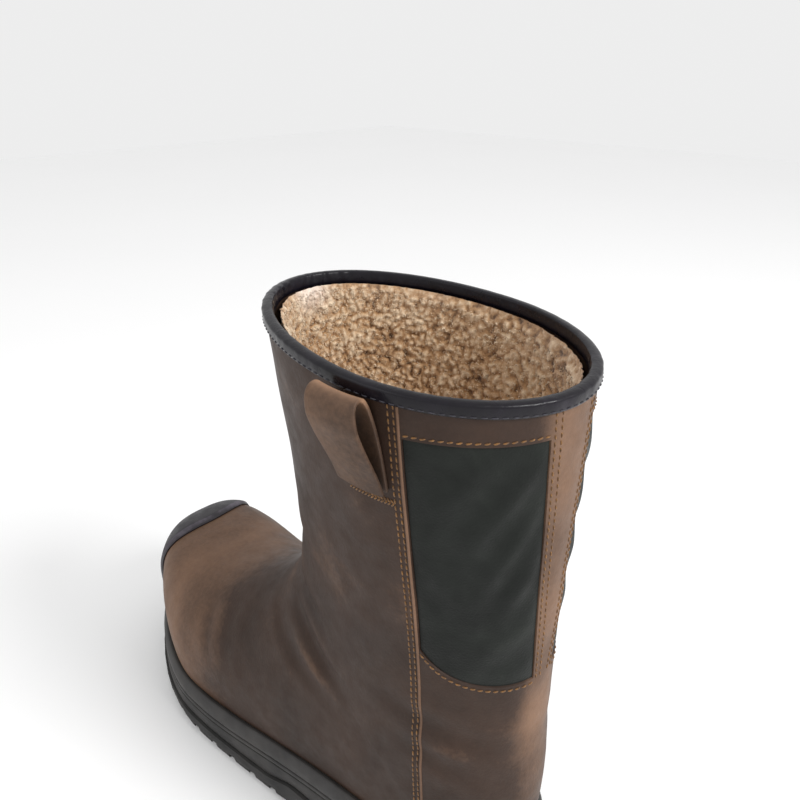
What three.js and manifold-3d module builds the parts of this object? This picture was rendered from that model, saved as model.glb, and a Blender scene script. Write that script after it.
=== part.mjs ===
// A pull-on safety boot for the left foot: moulded sole, leather upper with a tall shaft, black
// side panels, toe scuff cap, collar binding and two pull loops.
// Millimetres, +X to the toe, +Y to the wearer's left (the outer side), +Z up. The origin is on the
// floor, under the middle of the heel.
import * as THREE from "three";
import Module from "manifold-3d";

const wasm = await Module();
wasm.setup();

// Lengths along the foot, measured from the back of the heel of the upper.
const UPPER_LENGTH = 293;
const HEEL_CENTRE = 39;

// Widths of the upper.
const BALL_WIDTH = 104;
const ANKLE_WIDTH = 82;
const COLLAR_WIDTH = 114;

// Heights above the floor.
const HEEL_SEAT = 39;
const BALL_SEAT = 26;
const TOE_SPRING = 12;
const INSTEP_HEIGHT = 158;
const COLLAR_HEIGHT = 285;
const COLLAR_DROP = 9;

// The shaft from front to back at the collar, and how far its back stands out behind the heel.
const COLLAR_DEPTH = 158.5;
const COLLAR_OVERHANG = 10;

// Walls and clearances.
const WALL = 2.6;
const GAP = 0.3;

// The black side panels, let into the back half of the shaft, and the strip of leather that is left
// between them at the back.
const PANEL_RECESS = 1.3;
const PANEL_PROUD = 0.4;
const PANEL_FRONT = 31;
const PANEL_TOP = 261;
const PANEL_BOTTOM = 146;
const PANEL_TILT = 14;
const PANEL_BOW = 3.7;
const STRIP_WIDTH_TOP = 28;
const STRIP_WIDTH_BOTTOM = 13;

// The collar binding, folded over the top edge.
const BINDING_THICKNESS = 1.1;
const BINDING_DEPTH = 3.8;
const BINDING_SWELL = 0.2;

// The scuff cap over the toe. Its back edge is a bow, and the ends lie further forward than the
// middle.
const CAP_THICKNESS = 2.2;
const CAP_LENGTH = 31;
const CAP_BOW = 22;
const CAP_MIDDLE = -4;

// The pull loops, straps folded over at the top and sewn down at the bottom. LOOP_LEAN is how far
// they run to the back for each millimetre down.
const LOOP_WIDTH = 21;
const LOOP_LENGTH = 41;
const LOOP_DROP = 0.8;
const LOOP_LEAN = 0.13;
const LOOP_BULGE = 13;
const LOOP_THICKNESS = 1.6;
const LOOP_SEAM = 6;
const LOOP_PLACE = 0.63;

// The sole.
const SOLE_LEDGE = 5;
const SOLE_LIP = 5;
const OUTSOLE_THICKNESS = 11;
const OUTSOLE_STEP = 1.2;
const OUTSOLE_BAND = 3.7;
const SOLE_DRAFT = 2;
const HEEL_LENGTH = 84;
const HEEL_BEVEL = 4;
const BEVEL_SLOPE = 0.6;
const ARCH_RISE = 9;
const ARCH_LIFT = 6;
const LUG_DEPTH = 4;
const LUG_PITCH = 17;
const GROOVE_WIDTH = 5;
const GROOVE_ANGLE = 18;
const HEEL_GROOVES = 4;
const FORE_GROOVES = 8;
const RIB_DEPTH = 1.2;
const RIB_HEIGHT = 1.6;
const RIB_DROP = 2.5;
const RIB_LEVELS = 4;
const INSOLE_THICKNESS = 5;

// Places along the sole as shares of UPPER_LENGTH: where the seat starts to fall from the heel and
// where it has reached the ball, where the arch ends, and where the toe spring starts.
const SEAT_FALL_START = 0.08;
const SEAT_FALL_END = 0.66;
const ARCH_END = 0.47;
const SPRING_START = 0.7;
const SPRING_POWER = 1.8;

// Rows of the foot, each a section through the boot from the sole's edge, over the top, to the
// sole's edge. back and front are shares of UPPER_LENGTH, up is a share of INSTEP_HEIGHT, edge and
// wide are shares of half of BALL_WIDTH. low is how far up the widest place is, round is 2 for an
// ellipse and more for a squarer top, and lean shifts the section to the outer side as a share of
// BALL_WIDTH.
const FOOT_ROWS = [
  { back: 0.998, front: 1, up: 0.32, edge: 0.1, wide: 0.11, low: 0.4, round: 2.3, lean: -0.125 },
  { back: 0.993, front: 1.003, up: 0.4, edge: 0.22, wide: 0.25, low: 0.38, round: 2.5, lean: -0.128 },
  { back: 0.978, front: 0.995, up: 0.46, edge: 0.42, wide: 0.46, low: 0.36, round: 2.7, lean: -0.122 },
  { back: 0.95, front: 0.972, up: 0.505, edge: 0.585, wide: 0.625, low: 0.34, round: 2.8, lean: -0.118 },
  { back: 0.908, front: 0.931, up: 0.535, edge: 0.735, wide: 0.78, low: 0.33, round: 2.75, lean: -0.096 },
  { back: 0.85, front: 0.875, up: 0.55, edge: 0.865, wide: 0.9, low: 0.32, round: 2.6, lean: -0.062 },
  { back: 0.786, front: 0.812, up: 0.56, edge: 0.95, wide: 0.985, low: 0.31, round: 2.4, lean: -0.032 },
  { back: 0.716, front: 0.745, up: 0.573, edge: 0.98, wide: 1.015, low: 0.31, round: 2.25, lean: -0.006 },
  { back: 0.64, front: 0.68, up: 0.6, edge: 0.95, wide: 0.99, low: 0.32, round: 2.15, lean: 0.006 },
  { back: 0.556, front: 0.622, up: 0.64, edge: 0.875, wide: 0.935, low: 0.33, round: 2.1, lean: 0.018 },
  { back: 0.468, front: 0.572, up: 0.69, edge: 0.79, wide: 0.875, low: 0.35, round: 2.05, lean: 0.026 },
  { back: 0.378, front: 0.532, up: 0.745, edge: 0.725, wide: 0.83, low: 0.38, round: 2, lean: 0.028 },
  { back: 0.29, front: 0.504, up: 0.8, edge: 0.69, wide: 0.8, low: 0.41, round: 2, lean: 0.024 },
  { back: 0.208, front: 0.487, up: 0.85, edge: 0.675, wide: 0.79, low: 0.44, round: 2, lean: 0.016 },
  { back: 0.125, front: 0.477, up: 0.895, edge: 0.645, wide: 0.785, low: 0.47, round: 2, lean: 0.008 },
  { back: 0.058, front: 0.471, up: 0.935, edge: 0.56, wide: 0.785, low: 0.49, round: 2, lean: 0.002 },
  { back: 0.012, front: 0.469, up: 0.97, edge: 0.29, wide: 0.787, low: 0.5, round: 2, lean: 0 },
  { back: 0, front: 0.468, up: 1, edge: 0, wide: 0.79, low: 0.5, round: 2, lean: 0 },
];

// Rows of the shaft, closed loops from the heel up to the collar. rise and lift are how far the
// back and the front have climbed, as shares of the way from the last foot row to the collar. out
// and flare are how far the back and the front have spread, and spread how far the width has grown,
// as shares of the way from the ankle to the collar. low is the widest place, as a share of the way
// from the back to the front.
const SHAFT_ROWS = [
  { rise: 0.08, out: 0.3, lift: 0.085, flare: -0.01, spread: 0.01, low: 0.5 },
  { rise: 0.175, out: 0.42, lift: 0.185, flare: 0.01, spread: 0.04, low: 0.5 },
  { rise: 0.285, out: 0.36, lift: 0.295, flare: 0.07, spread: 0.1, low: 0.5 },
  { rise: 0.4, out: 0.36, lift: 0.41, flare: 0.17, spread: 0.21, low: 0.49 },
  { rise: 0.52, out: 0.46, lift: 0.53, flare: 0.31, spread: 0.34, low: 0.475 },
  { rise: 0.64, out: 0.6, lift: 0.65, flare: 0.48, spread: 0.52, low: 0.46 },
  { rise: 0.76, out: 0.75, lift: 0.77, flare: 0.66, spread: 0.7, low: 0.45 },
  { rise: 0.88, out: 0.89, lift: 0.885, flare: 0.83, spread: 0.86, low: 0.44 },
  { rise: 1, out: 1, lift: 1, flare: 1, spread: 1, low: 0.44 },
];
const HEEL_ROW = FOOT_ROWS.length - 1;
const COLLAR_ROW = HEEL_ROW + SHAFT_ROWS.length;

// The outside of a pull loop in section, from the bottom of its inner leg, over the fold, to the
// bottom of its outer leg. down is a share of LOOP_LENGTH from the fold, out is a share of
// LOOP_BULGE.
const LOOP_CORNERS = [
  { down: 1, out: 0 },
  { down: 0.8, out: 0 },
  { down: 0.57, out: 0.02 },
  { down: 0.35, out: 0.07 },
  { down: 0.2, out: 0.14 },
  { down: 0.1, out: 0.22 },
  { down: 0.04, out: 0.31 },
  { down: 0.01, out: 0.42 },
  { down: 0, out: 0.55 },
  { down: 0.01, out: 0.7 },
  { down: 0.04, out: 0.83 },
  { down: 0.09, out: 0.93 },
  { down: 0.17, out: 0.99 },
  { down: 0.28, out: 1 },
  { down: 0.46, out: 0.86 },
  { down: 0.64, out: 0.67 },
  { down: 0.82, out: 0.48 },
  { down: 1, out: 0.34 },
];

// Evenly spaced values from first to last, both included.
function steps(first, last, count) {
  return Array.from({ length: count + 1 }, (_, i) => first + ((last - first) * i) / count);
}

// A smooth value through a list, at place t, where whole numbers are the list's own values.
function through(list, t) {
  const last = list.length - 1;
  const place = Math.min(Math.max(t, 0), last);
  const i = Math.min(Math.floor(place), last - 1);
  const s = place - i;
  const start = list[i];
  const end = list[i + 1];
  const before = i > 0 ? list[i - 1] : 2 * start - end;
  const after = i + 2 <= last ? list[i + 2] : 2 * end - start;
  const leaving = ((end - before) / 2) * s * (1 - s) * (1 - s);
  const arriving = ((after - start) / 2) * s * s * (1 - s);
  return start * (1 + s * s * (2 * s - 3)) + leaving + end * s * s * (3 - 2 * s) - arriving;
}

// Rises smoothly from 0 at first to 1 at last.
function blend(x, first, last) {
  const t = Math.min(Math.max((x - first) / (last - first), 0), 1);
  return t * t * (3 - 2 * t);
}

// How far the toe spring has lifted the sole, x from the back of the heel.
function springAt(x) {
  const share = (x / UPPER_LENGTH - SPRING_START) / (1 - SPRING_START);
  return TOE_SPRING * Math.max(share, 0) ** SPRING_POWER;
}

// Height of the seat on which the upper stands.
function seatAt(x) {
  const fallen = blend(x / UPPER_LENGTH, SEAT_FALL_START, SEAT_FALL_END);
  return HEEL_SEAT + (BALL_SEAT - HEEL_SEAT) * fallen + springAt(x);
}

// Every row in millimetres.
const throatX = FOOT_ROWS[HEEL_ROW].front * UPPER_LENGTH;
const collarFront = COLLAR_DEPTH - COLLAR_OVERHANG;
const collarBackHeight = COLLAR_HEIGHT - COLLAR_DROP;
const footRows = FOOT_ROWS.map((row) => ({
  bx: row.back * UPPER_LENGTH,
  bz: seatAt(row.back * UPPER_LENGTH),
  fx: row.front * UPPER_LENGTH,
  fz: row.up * INSTEP_HEIGHT,
  edge: (row.edge * BALL_WIDTH) / 2,
  wide: (row.wide * BALL_WIDTH) / 2,
  low: row.low,
  round: row.round,
  lean: row.lean * BALL_WIDTH,
}));
const shaftRows = SHAFT_ROWS.map((row) => ({
  bx: -row.out * COLLAR_OVERHANG,
  bz: HEEL_SEAT + row.rise * (collarBackHeight - HEEL_SEAT),
  fx: throatX + row.flare * (collarFront - throatX),
  fz: INSTEP_HEIGHT + row.lift * (COLLAR_HEIGHT - INSTEP_HEIGHT),
  edge: 0,
  wide: (ANKLE_WIDTH + row.spread * (COLLAR_WIDTH - ANKLE_WIDTH)) / 2,
  low: row.low,
  round: 2,
  lean: 0,
}));
const rows = [...footRows, ...shaftRows];
const columnOf = (key, first = 0, last = COLLAR_ROW) =>
  rows.slice(first, last + 1).map((row) => row[key]);
const columns = {
  bx: columnOf("bx"),
  fx: columnOf("fx"),
  fz: columnOf("fz"),
  wide: columnOf("wide"),
  low: columnOf("low"),
  round: columnOf("round"),
  lean: columnOf("lean"),
};
const footEdges = columnOf("edge", 0, HEEL_ROW);
const shaftBacks = columnOf("bz", HEEL_ROW);

// The section at row u, smooth between the rows of the tables.
function sectionAt(u) {
  const s = {};
  for (const key of Object.keys(columns)) s[key] = through(columns[key], u);
  const onSeat = u <= HEEL_ROW;
  s.bz = onSeat ? seatAt(s.bx) : through(shaftBacks, u - HEEL_ROW);
  s.edge = onSeat ? Math.max(through(footEdges, u), 0) : 0;
  return s;
}

// The share of each half section, from the front, that lies above the widest place.
const TOP_SHARE = 0.6;

// A point of the form. v runs from -1 at the inner edge, over the front at 0, to 1 at the outer.
function skin(u, v) {
  const s = sectionAt(u);
  const a = Math.abs(v);
  let along;
  let half;
  if (a <= TOP_SHARE) {
    const turn = (1 - a / TOP_SHARE) * (Math.PI / 2);
    along = s.low + (1 - s.low) * Math.sin(turn) ** (2 / s.round);
    half = s.wide * Math.max(Math.cos(turn), 0) ** (2 / s.round);
  } else {
    const part = (1 - a) / (1 - TOP_SHARE);
    const turn = part * (Math.PI / 2);
    const round = 1 - s.edge / s.wide;
    along = s.low * (part * (1 - round) + (1 - Math.cos(turn)) * round);
    half = s.edge + (s.wide - s.edge) * Math.sin(turn);
  }
  if (a === 0) half = 0;
  return new THREE.Vector3(
    s.bx + along * (s.fx - s.bx),
    s.lean + Math.sign(v) * half,
    s.bz + along * (s.fz - s.bz),
  );
}

// The outward direction of the form at a point. The line down the back has it in the middle plane.
const NUDGE = 0.004;
function outward(u, v) {
  const above = skin(Math.min(u + NUDGE, COLLAR_ROW), v);
  const below = skin(Math.max(u - NUDGE, 0), v);
  const left = skin(u, Math.min(v + NUDGE, 1));
  const right = skin(u, Math.max(v - NUDGE, -1));
  const across = left.sub(right);
  const up = above.sub(below);
  if (u >= HEEL_ROW && Math.abs(v) === 1) {
    across.set(0, -1, 0);
    up.y = 0;
  }
  return across.cross(up).normalize();
}

// A point a stated distance outside the form, or inside it where the distance is negative.
function offForm(u, v, distance) {
  return skin(u, v).addScaledVector(outward(u, v), distance);
}

// A solid from points and from triples of point numbers, turned so that its faces look outward.
function solidFrom(points, faces) {
  const triangles = faces.filter(([a, b, c]) => a !== b && b !== c && c !== a);
  const make = (order) =>
    new wasm.Manifold(
      new wasm.Mesh({
        numProp: 3,
        vertProperties: new Float32Array(points.flatMap((p) => [p.x, p.y, p.z])),
        triVerts: new Uint32Array(order.flat()),
      }),
    );
  const solid = make(triangles);
  return solid.volume() > 0 ? solid : make(triangles.map(([a, b, c]) => [a, c, b]));
}

// A solid from a closed three.js geometry.
const WELD_STEPS = 1e4;
function solidOf(geometry) {
  const position = geometry.attributes.position;
  const order = geometry.index ? Array.from(geometry.index.array) : [...Array(position.count).keys()];
  const numbers = new Map();
  const points = [];
  const numberOf = (i) => {
    const p = new THREE.Vector3().fromBufferAttribute(position, i);
    const key = p.toArray().map((value) => Math.round(value * WELD_STEPS)).join(" ");
    if (!numbers.has(key)) {
      numbers.set(key, points.length);
      points.push(p);
    }
    return numbers.get(key);
  };
  const faces = [];
  for (let i = 0; i < order.length; i += 3) {
    faces.push([numberOf(order[i]), numberOf(order[i + 1]), numberOf(order[i + 2])]);
  }
  return solidFrom(points, faces);
}

// A three.js geometry from a solid.
function geometryFrom(solid) {
  const mesh = solid.getMesh();
  const positions = new Float32Array(mesh.numVert * 3);
  for (let i = 0; i < mesh.numVert; i += 1) {
    const start = i * mesh.numProp;
    positions.set(mesh.vertProperties.subarray(start, start + 3), i * 3);
  }
  const geometry = new THREE.BufferGeometry();
  geometry.setAttribute("position", new THREE.BufferAttribute(positions, 3));
  geometry.setIndex(new THREE.BufferAttribute(mesh.triVerts, 1));
  geometry.computeVertexNormals();
  return geometry;
}

// The largest body of a solid, without slivers that a cut leaves beside it.
function mainBody(solid) {
  return solid.decompose().sort((a, b) => b.volume() - a.volume())[0];
}

// The direction in which the shaft goes on above the collar.
const collarOut = outward(COLLAR_ROW, 0);
const collarClimb = new THREE.Vector3(-collarOut.z, 0, collarOut.x).normalize();

// The rows and the columns of the outer surface, and the coarser rows of the inner one.
const FOOT_STEPS = 30;
const SHAFT_STEPS = 10;
const ROWS = [...steps(0, HEEL_ROW, FOOT_STEPS), ...steps(HEEL_ROW, COLLAR_ROW, SHAFT_STEPS).slice(1)];
const COLUMNS = steps(-1, 1, 30);
const INNER_ROWS = steps(0, COLLAR_ROW, COLLAR_ROW);

// How many steps the smaller curves have: along the sole in the side view, the panel's front edge,
// the cap's back edge, the fold of the binding and the width of a loop.
const SIDE_STEPS = 32;
const PANEL_STEPS = 6;
const CAP_STEPS = 16;
const FOLD_STEPS = 4;
const LOOP_STEPS = 3;

// How far the tool that cuts the inside out goes past the edges of the wall.
const CUT_PAST = 2 * WALL;

// The whole form as one closed solid, its surface a stated distance off the form. drop lowers the
// underside and rise raises the top.
function formSolid(us, vs, distance, drop = 0, rise = 0) {
  const rings = us.map((u) => vs.map((v) => offForm(u, v, distance)));
  const closed = us.map((u) => u >= HEEL_ROW);
  if (rise > 0) {
    rings.push(rings[rings.length - 1].map((p) => p.clone().addScaledVector(collarClimb, rise)));
    closed.push(true);
  }
  const points = rings.flat();
  const count = vs.length;
  const last = count - 1;
  const at = (r, i) => r * count + (closed[r] && i === last ? 0 : i);
  const faces = [];
  const quad = (a, b, c, d) => faces.push([a, b, c], [a, c, d]);
  for (let r = 0; r + 1 < rings.length; r += 1) {
    for (let i = 0; i < last; i += 1) quad(at(r, i), at(r, i + 1), at(r + 1, i + 1), at(r + 1, i));
  }
  // The underside joins the two edges of each row that stands on the seat.
  const seated = us.filter((u) => u <= HEEL_ROW).length;
  const under = Array.from({ length: seated }, (_, r) => {
    if (drop === 0) return [at(r, 0), at(r, last)];
    const made = [rings[r][0], rings[r][last]].map((p) => {
      points.push(new THREE.Vector3(p.x, p.y, p.z - drop));
      return points.length - 1;
    });
    return closed[r] ? [made[0], made[0]] : made;
  });
  for (let r = 0; r + 1 < seated; r += 1) {
    const [a, b] = under[r];
    const [c, d] = under[r + 1];
    quad(a, c, d, b);
    if (drop > 0) {
      quad(at(r, 0), at(r + 1, 0), c, a);
      quad(at(r + 1, last), at(r, last), b, d);
    }
  }
  if (drop > 0) quad(at(0, 0), under[0][0], under[0][1], at(0, last));
  // The toe end and the top join each point to its twin on the other side.
  const top = rings.length - 1;
  for (let i = 0; i < last / 2; i += 1) {
    quad(at(0, i), at(0, last - i), at(0, last - i - 1), at(0, i + 1));
    quad(at(top, i), at(top, i + 1), at(top, last - i - 1), at(top, last - i));
  }
  return solidFrom(points, faces);
}

// An outline drawn out straight between two depths.
function prism(outline, from, to) {
  const shape = new THREE.Shape(outline.map(([x, y]) => new THREE.Vector2(x, y)));
  const geometry = new THREE.ExtrudeGeometry(shape, { depth: to - from, bevelEnabled: false });
  return geometry.translate(0, 0, from);
}

// A solid across the boot, from an outline in the side view given as [x, z] points.
const HALF_SPAN = 100;
function sidePrism(outline) {
  return solidOf(prism(outline, -HALF_SPAN, HALF_SPAN).rotateX(Math.PI / 2));
}

// A closed outline drawn in by a distance, or out where the distance is negative.
function inset(outline, distance) {
  const area = THREE.ShapeUtils.area(outline.map(([x, y]) => new THREE.Vector2(x, y)));
  const side = Math.sign(area);
  return outline.map((point, i) => {
    const before = outline[(i + outline.length - 1) % outline.length];
    const after = outline[(i + 1) % outline.length];
    const here = new THREE.Vector2(...point);
    const arriving = here.clone().sub(new THREE.Vector2(...before)).normalize();
    const leaving = new THREE.Vector2(...after).sub(here).normalize();
    const first = new THREE.Vector2(-arriving.y, arriving.x);
    const second = new THREE.Vector2(-leaving.y, leaving.x);
    const mitre = first.clone().add(second).divideScalar(1 + first.dot(second));
    return here.addScaledVector(mitre, side * distance).toArray();
  });
}

// The edge of the sole in plan, from the toe to the heel, a stated distance outside the upper's
// edge. Each row is its inner and its outer point.
function soleEdge(distance) {
  const edgeAt = (u, side) => {
    const s = sectionAt(u);
    return new THREE.Vector2(s.bx, s.lean + side * s.edge);
  };
  return steps(0, HEEL_ROW, FOOT_STEPS).map((u) =>
    [-1, 1].map((side) => {
      const ahead = edgeAt(Math.max(u - NUDGE, 0), side);
      const run = edgeAt(Math.min(u + NUDGE, HEEL_ROW), side).sub(ahead);
      if (u === HEEL_ROW) run.set(0, -side);
      const away = new THREE.Vector2(side * run.y, -side * run.x).normalize();
      return edgeAt(u, side).addScaledVector(away, distance);
    }),
  );
}

// A solid with the outline of the sole. Each level has its ledge outside the upper's edge and its
// height as a function of x.
function soleSolid(levels) {
  const points = [];
  const faces = [];
  const quad = (a, b, c, d) => faces.push([a, b, c], [a, c, d]);
  const last = FOOT_STEPS;
  const count = 2 * last + 1;
  levels.forEach(({ ledge, height }) => {
    const edge = soleEdge(ledge);
    const ring = [...edge.map((pair) => pair[0]), ...edge.slice(0, last).reverse().map((pair) => pair[1])];
    ring.forEach((p) => points.push(new THREE.Vector3(p.x, p.y, height(p.x))));
  });
  for (let r = 0; r + 1 < levels.length; r += 1) {
    for (let i = 0; i < count; i += 1) {
      const next = (i + 1) % count;
      quad(r * count + i, r * count + next, (r + 1) * count + next, (r + 1) * count + i);
    }
  }
  const top = (levels.length - 1) * count;
  for (let i = 0; i < last; i += 1) {
    const twin = count - 1 - i;
    quad(i, twin, twin - 1, i + 1);
    quad(top + i, top + i + 1, top + twin - 1, top + twin);
  }
  return solidFrom(points, faces);
}

// The underside of the sole over the floor.
function groundAt(x) {
  const arch = 1 - blend(x, HEEL_LENGTH + HEEL_BEVEL, ARCH_END * UPPER_LENGTH);
  return ARCH_RISE * arch + springAt(x);
}

// The surface between outsole and midsole.
function splitAt(x) {
  const archMiddle = (HEEL_LENGTH + ARCH_END * UPPER_LENGTH) / 2;
  const lift = blend(x, HEEL_LENGTH / 2, archMiddle) * (1 - blend(x, archMiddle, ARCH_END * UPPER_LENGTH));
  return OUTSOLE_THICKNESS + ARCH_LIFT * lift + springAt(x);
}

const ledgeLine = (x) => seatAt(x) + SOLE_LIP;
// The outsole is drawn down to a level under the floor, and the cuts from below start deeper still.
const UNDER_FLOOR = -10;
const BELOW = 2 * UNDER_FLOOR;
const toeEnd = UPPER_LENGTH + 2 * SOLE_LEDGE;
const heelEnd = -2 * (SOLE_LEDGE + HEEL_BEVEL);
const stations = steps(HEEL_LENGTH + HEEL_BEVEL, toeEnd, SIDE_STEPS);

// The outsole: a slab with its heel, arch and toe spring cut from below, and grooves between lugs.
const groundCut = sidePrism([
  [heelEnd, BELOW],
  [heelEnd, BEVEL_SLOPE * (HEEL_BEVEL - heelEnd)],
  [HEEL_BEVEL, 0],
  [HEEL_LENGTH, 0],
  ...stations.map((x) => [x, groundAt(x)]),
  [toeEnd, BELOW],
]);
const outsoleLedge = SOLE_LEDGE + OUTSOLE_STEP;
let outsole = soleSolid([
  { ledge: outsoleLedge - SOLE_DRAFT, height: () => UNDER_FLOOR },
  { ledge: outsoleLedge - SOLE_DRAFT, height: () => 0 },
  { ledge: outsoleLedge, height: (x) => splitAt(x) - OUTSOLE_BAND },
  { ledge: outsoleLedge, height: splitAt },
]).subtract(groundCut);
const grooveStarts = [
  ...steps(0, HEEL_GROOVES - 1, HEEL_GROOVES - 1).map(
    (i) => HEEL_CENTRE + (i - (HEEL_GROOVES - 1) / 2) * LUG_PITCH,
  ),
  ...steps(0, FORE_GROOVES - 1, FORE_GROOVES - 1).map((i) => ARCH_END * UPPER_LENGTH + (i + 0.5) * LUG_PITCH),
];
for (const x of grooveStarts) {
  for (const side of [-1, 1]) {
    const top = Math.max(springAt(x), 0) + LUG_DEPTH;
    const groove = new THREE.BoxGeometry(GROOVE_WIDTH, HALF_SPAN, top - BELOW);
    groove.translate(0, (side * HALF_SPAN) / 2, (top + BELOW) / 2);
    groove.rotateZ(side * THREE.MathUtils.degToRad(GROOVE_ANGLE));
    groove.translate(x, 0, 0);
    outsole = outsole.subtract(solidOf(groove));
  }
}
outsole = mainBody(outsole);

// The midsole, with a lip that stands up round the upper and two grooves round its side.
const outer = formSolid(ROWS, COLUMNS, 0);
const ribLevels = steps(0, RIB_LEVELS, RIB_LEVELS).map((i) => ({
  ledge: SOLE_LEDGE - (i % 2) * RIB_DEPTH,
  height: (x) => seatAt(x) - RIB_DROP + (i - RIB_LEVELS) * RIB_HEIGHT,
}));
const midsoleBlock = soleSolid([
  { ledge: SOLE_LEDGE, height: (x) => splitAt(x) + GAP },
  ...ribLevels,
  { ledge: SOLE_LEDGE, height: seatAt },
  { ledge: SOLE_LEDGE - SOLE_DRAFT, height: ledgeLine },
]);
const seatWell = soleSolid([
  { ledge: GAP, height: (x) => seatAt(x) - GAP },
  { ledge: GAP, height: (x) => ledgeLine(x) + SOLE_LIP },
]);
const midsole = mainBody(midsoleBlock.subtract(formSolid(ROWS, COLUMNS, GAP, GAP)).subtract(seatWell));

// The insole, on the seat inside the upper.
const seatStations = steps(heelEnd, toeEnd, SIDE_STEPS);
const insoleSlab = sidePrism([
  ...seatStations.map((x) => [x, seatAt(x) + INSOLE_THICKNESS]),
  ...seatStations.reverse().map((x) => [x, seatAt(x)]),
]);
const insideForm = formSolid(INNER_ROWS, COLUMNS, -WALL - 2 * GAP, CUT_PAST);
const insole = mainBody(insideForm.intersect(insoleSlab));

// The side panels and their recesses in the wall.
const panelOutline = [
  [PANEL_FRONT, PANEL_TOP],
  [-HALF_SPAN / 2, PANEL_TOP],
  [-HALF_SPAN / 2, PANEL_BOTTOM],
  ...steps(0, 1, PANEL_STEPS).map((t) => [
    PANEL_FRONT * t + PANEL_BOW * Math.sin(Math.PI * t),
    PANEL_BOTTOM + PANEL_TILT * t * t,
  ]),
];
function panelShape(clearance, side) {
  const back = [
    [side * (STRIP_WIDTH_TOP / 2 + clearance), PANEL_TOP],
    [side * HALF_SPAN, PANEL_TOP],
    [side * HALF_SPAN, PANEL_BOTTOM],
    [side * (STRIP_WIDTH_BOTTOM / 2 + clearance), PANEL_BOTTOM],
  ];
  const across = prism(back, -HALF_SPAN, HALF_SPAN).rotateX(Math.PI / 2).rotateZ(Math.PI / 2);
  return sidePrism(inset(panelOutline, clearance)).intersect(solidOf(across));
}
const recessForm = formSolid(ROWS, COLUMNS, PANEL_RECESS).subtract(formSolid(ROWS, COLUMNS, -PANEL_RECESS));
const panelForm = formSolid(ROWS, COLUMNS, PANEL_PROUD).subtract(
  formSolid(ROWS, COLUMNS, GAP - PANEL_RECESS),
);
const panelLeft = mainBody(panelForm.intersect(panelShape(GAP, 1)));
const panelRight = mainBody(panelForm.intersect(panelShape(GAP, -1)));

// The upper: one hollow wall, open at the collar and underneath.
const inner = formSolid(INNER_ROWS, COLUMNS, -WALL, CUT_PAST, CUT_PAST);
const recesses = recessForm.intersect(panelShape(0, 1).add(panelShape(0, -1)));
const upper = mainBody(outer.subtract(inner).subtract(recesses));

// The scuff cap.
const capHalf = BALL_WIDTH / 2;
const capOutline = [
  ...steps(-capHalf, capHalf, CAP_STEPS).map((y) => [
    UPPER_LENGTH - CAP_LENGTH + CAP_BOW * ((y - CAP_MIDDLE) / capHalf) ** 2,
    y,
  ]),
  [toeEnd, capHalf],
  [toeEnd, -capHalf],
];
const lipCut = sidePrism([
  [0, BELOW],
  ...steps(0, toeEnd, SIDE_STEPS).map((x) => [x, ledgeLine(x) + GAP]),
  [toeEnd, BELOW],
]);
const capForm = formSolid(ROWS, COLUMNS, GAP + CAP_THICKNESS).subtract(formSolid(ROWS, COLUMNS, GAP));
const capShape = solidOf(prism(capOutline, 0, COLLAR_HEIGHT));
const toeCap = mainBody(capForm.intersect(capShape).subtract(lipCut));

// A point beside the collar: out from the form, and up from its edge along the wall. Distances down
// the wall are summed in strides of a share of a row.
const STRIDE = 1 / 8;
function byCollar(v, out, up) {
  const edge = skin(COLLAR_ROW, v);
  if (up > 0) return offForm(COLLAR_ROW, v, out).addScaledVector(collarClimb, up);
  let u = COLLAR_ROW;
  let passed = 0;
  let last = edge;
  while (passed < -up) {
    const below = skin(u - STRIDE, v);
    const stride = last.distanceTo(below);
    const share = Math.min((-up - passed) / stride, 1);
    u -= share * STRIDE;
    passed += share * stride;
    last = below;
    if (share < 1) break;
  }
  return offForm(u, v, out);
}

// A solid swept along the wall between the given places of v, from a section of [out, up] points.
// A closed sweep goes all the way round. lean moves the section in v for each millimetre down.
function sweepByCollar(vs, outline, closed, lean) {
  const points = vs.flatMap((v) => outline.map(([out, up]) => byCollar(v - lean * up, out, up)));
  const count = outline.length;
  const faces = [];
  const rings = closed ? vs.length : vs.length - 1;
  for (let r = 0; r < rings; r += 1) {
    for (let i = 0; i < count; i += 1) {
      const next = (i + 1) % count;
      const after = ((r + 1) % vs.length) * count;
      const [a, b, c, d] = [r * count + i, r * count + next, after + next, after + i];
      faces.push([a, b, c], [a, c, d]);
    }
  }
  if (!closed) {
    const flat = outline.map(([x, y]) => new THREE.Vector2(x, y));
    const end = (vs.length - 1) * count;
    const turned = THREE.ShapeUtils.isClockWise(flat);
    THREE.ShapeUtils.triangulateShape(flat, []).forEach((face) => {
      const same = THREE.ShapeUtils.isClockWise(face.map((i) => flat[i])) === turned;
      const [a, b, c] = same ? face : face.reverse();
      faces.push([a, c, b], [end + a, end + b, end + c]);
    });
  }
  return solidFrom(points, faces);
}

// The collar binding, a strip folded over the edge of the wall.
const foldRadius = WALL / 2 + GAP + BINDING_THICKNESS;
const fold = steps(0, Math.PI, FOLD_STEPS).map((turn) => [
  foldRadius * Math.cos(turn) - WALL / 2,
  foldRadius * Math.sin(turn),
]);
const bindingOutline = [
  [GAP, -BINDING_DEPTH],
  [GAP + BINDING_THICKNESS, -BINDING_DEPTH],
  [GAP + BINDING_THICKNESS + BINDING_SWELL, -BINDING_DEPTH / 2],
  ...fold,
  [-WALL - GAP - BINDING_THICKNESS, -BINDING_DEPTH],
  [-WALL - GAP, -BINDING_DEPTH],
  [-WALL - GAP, GAP],
  [GAP, GAP],
];
const binding = sweepByCollar(COLUMNS.slice(1), bindingOutline, true, 0);

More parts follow.
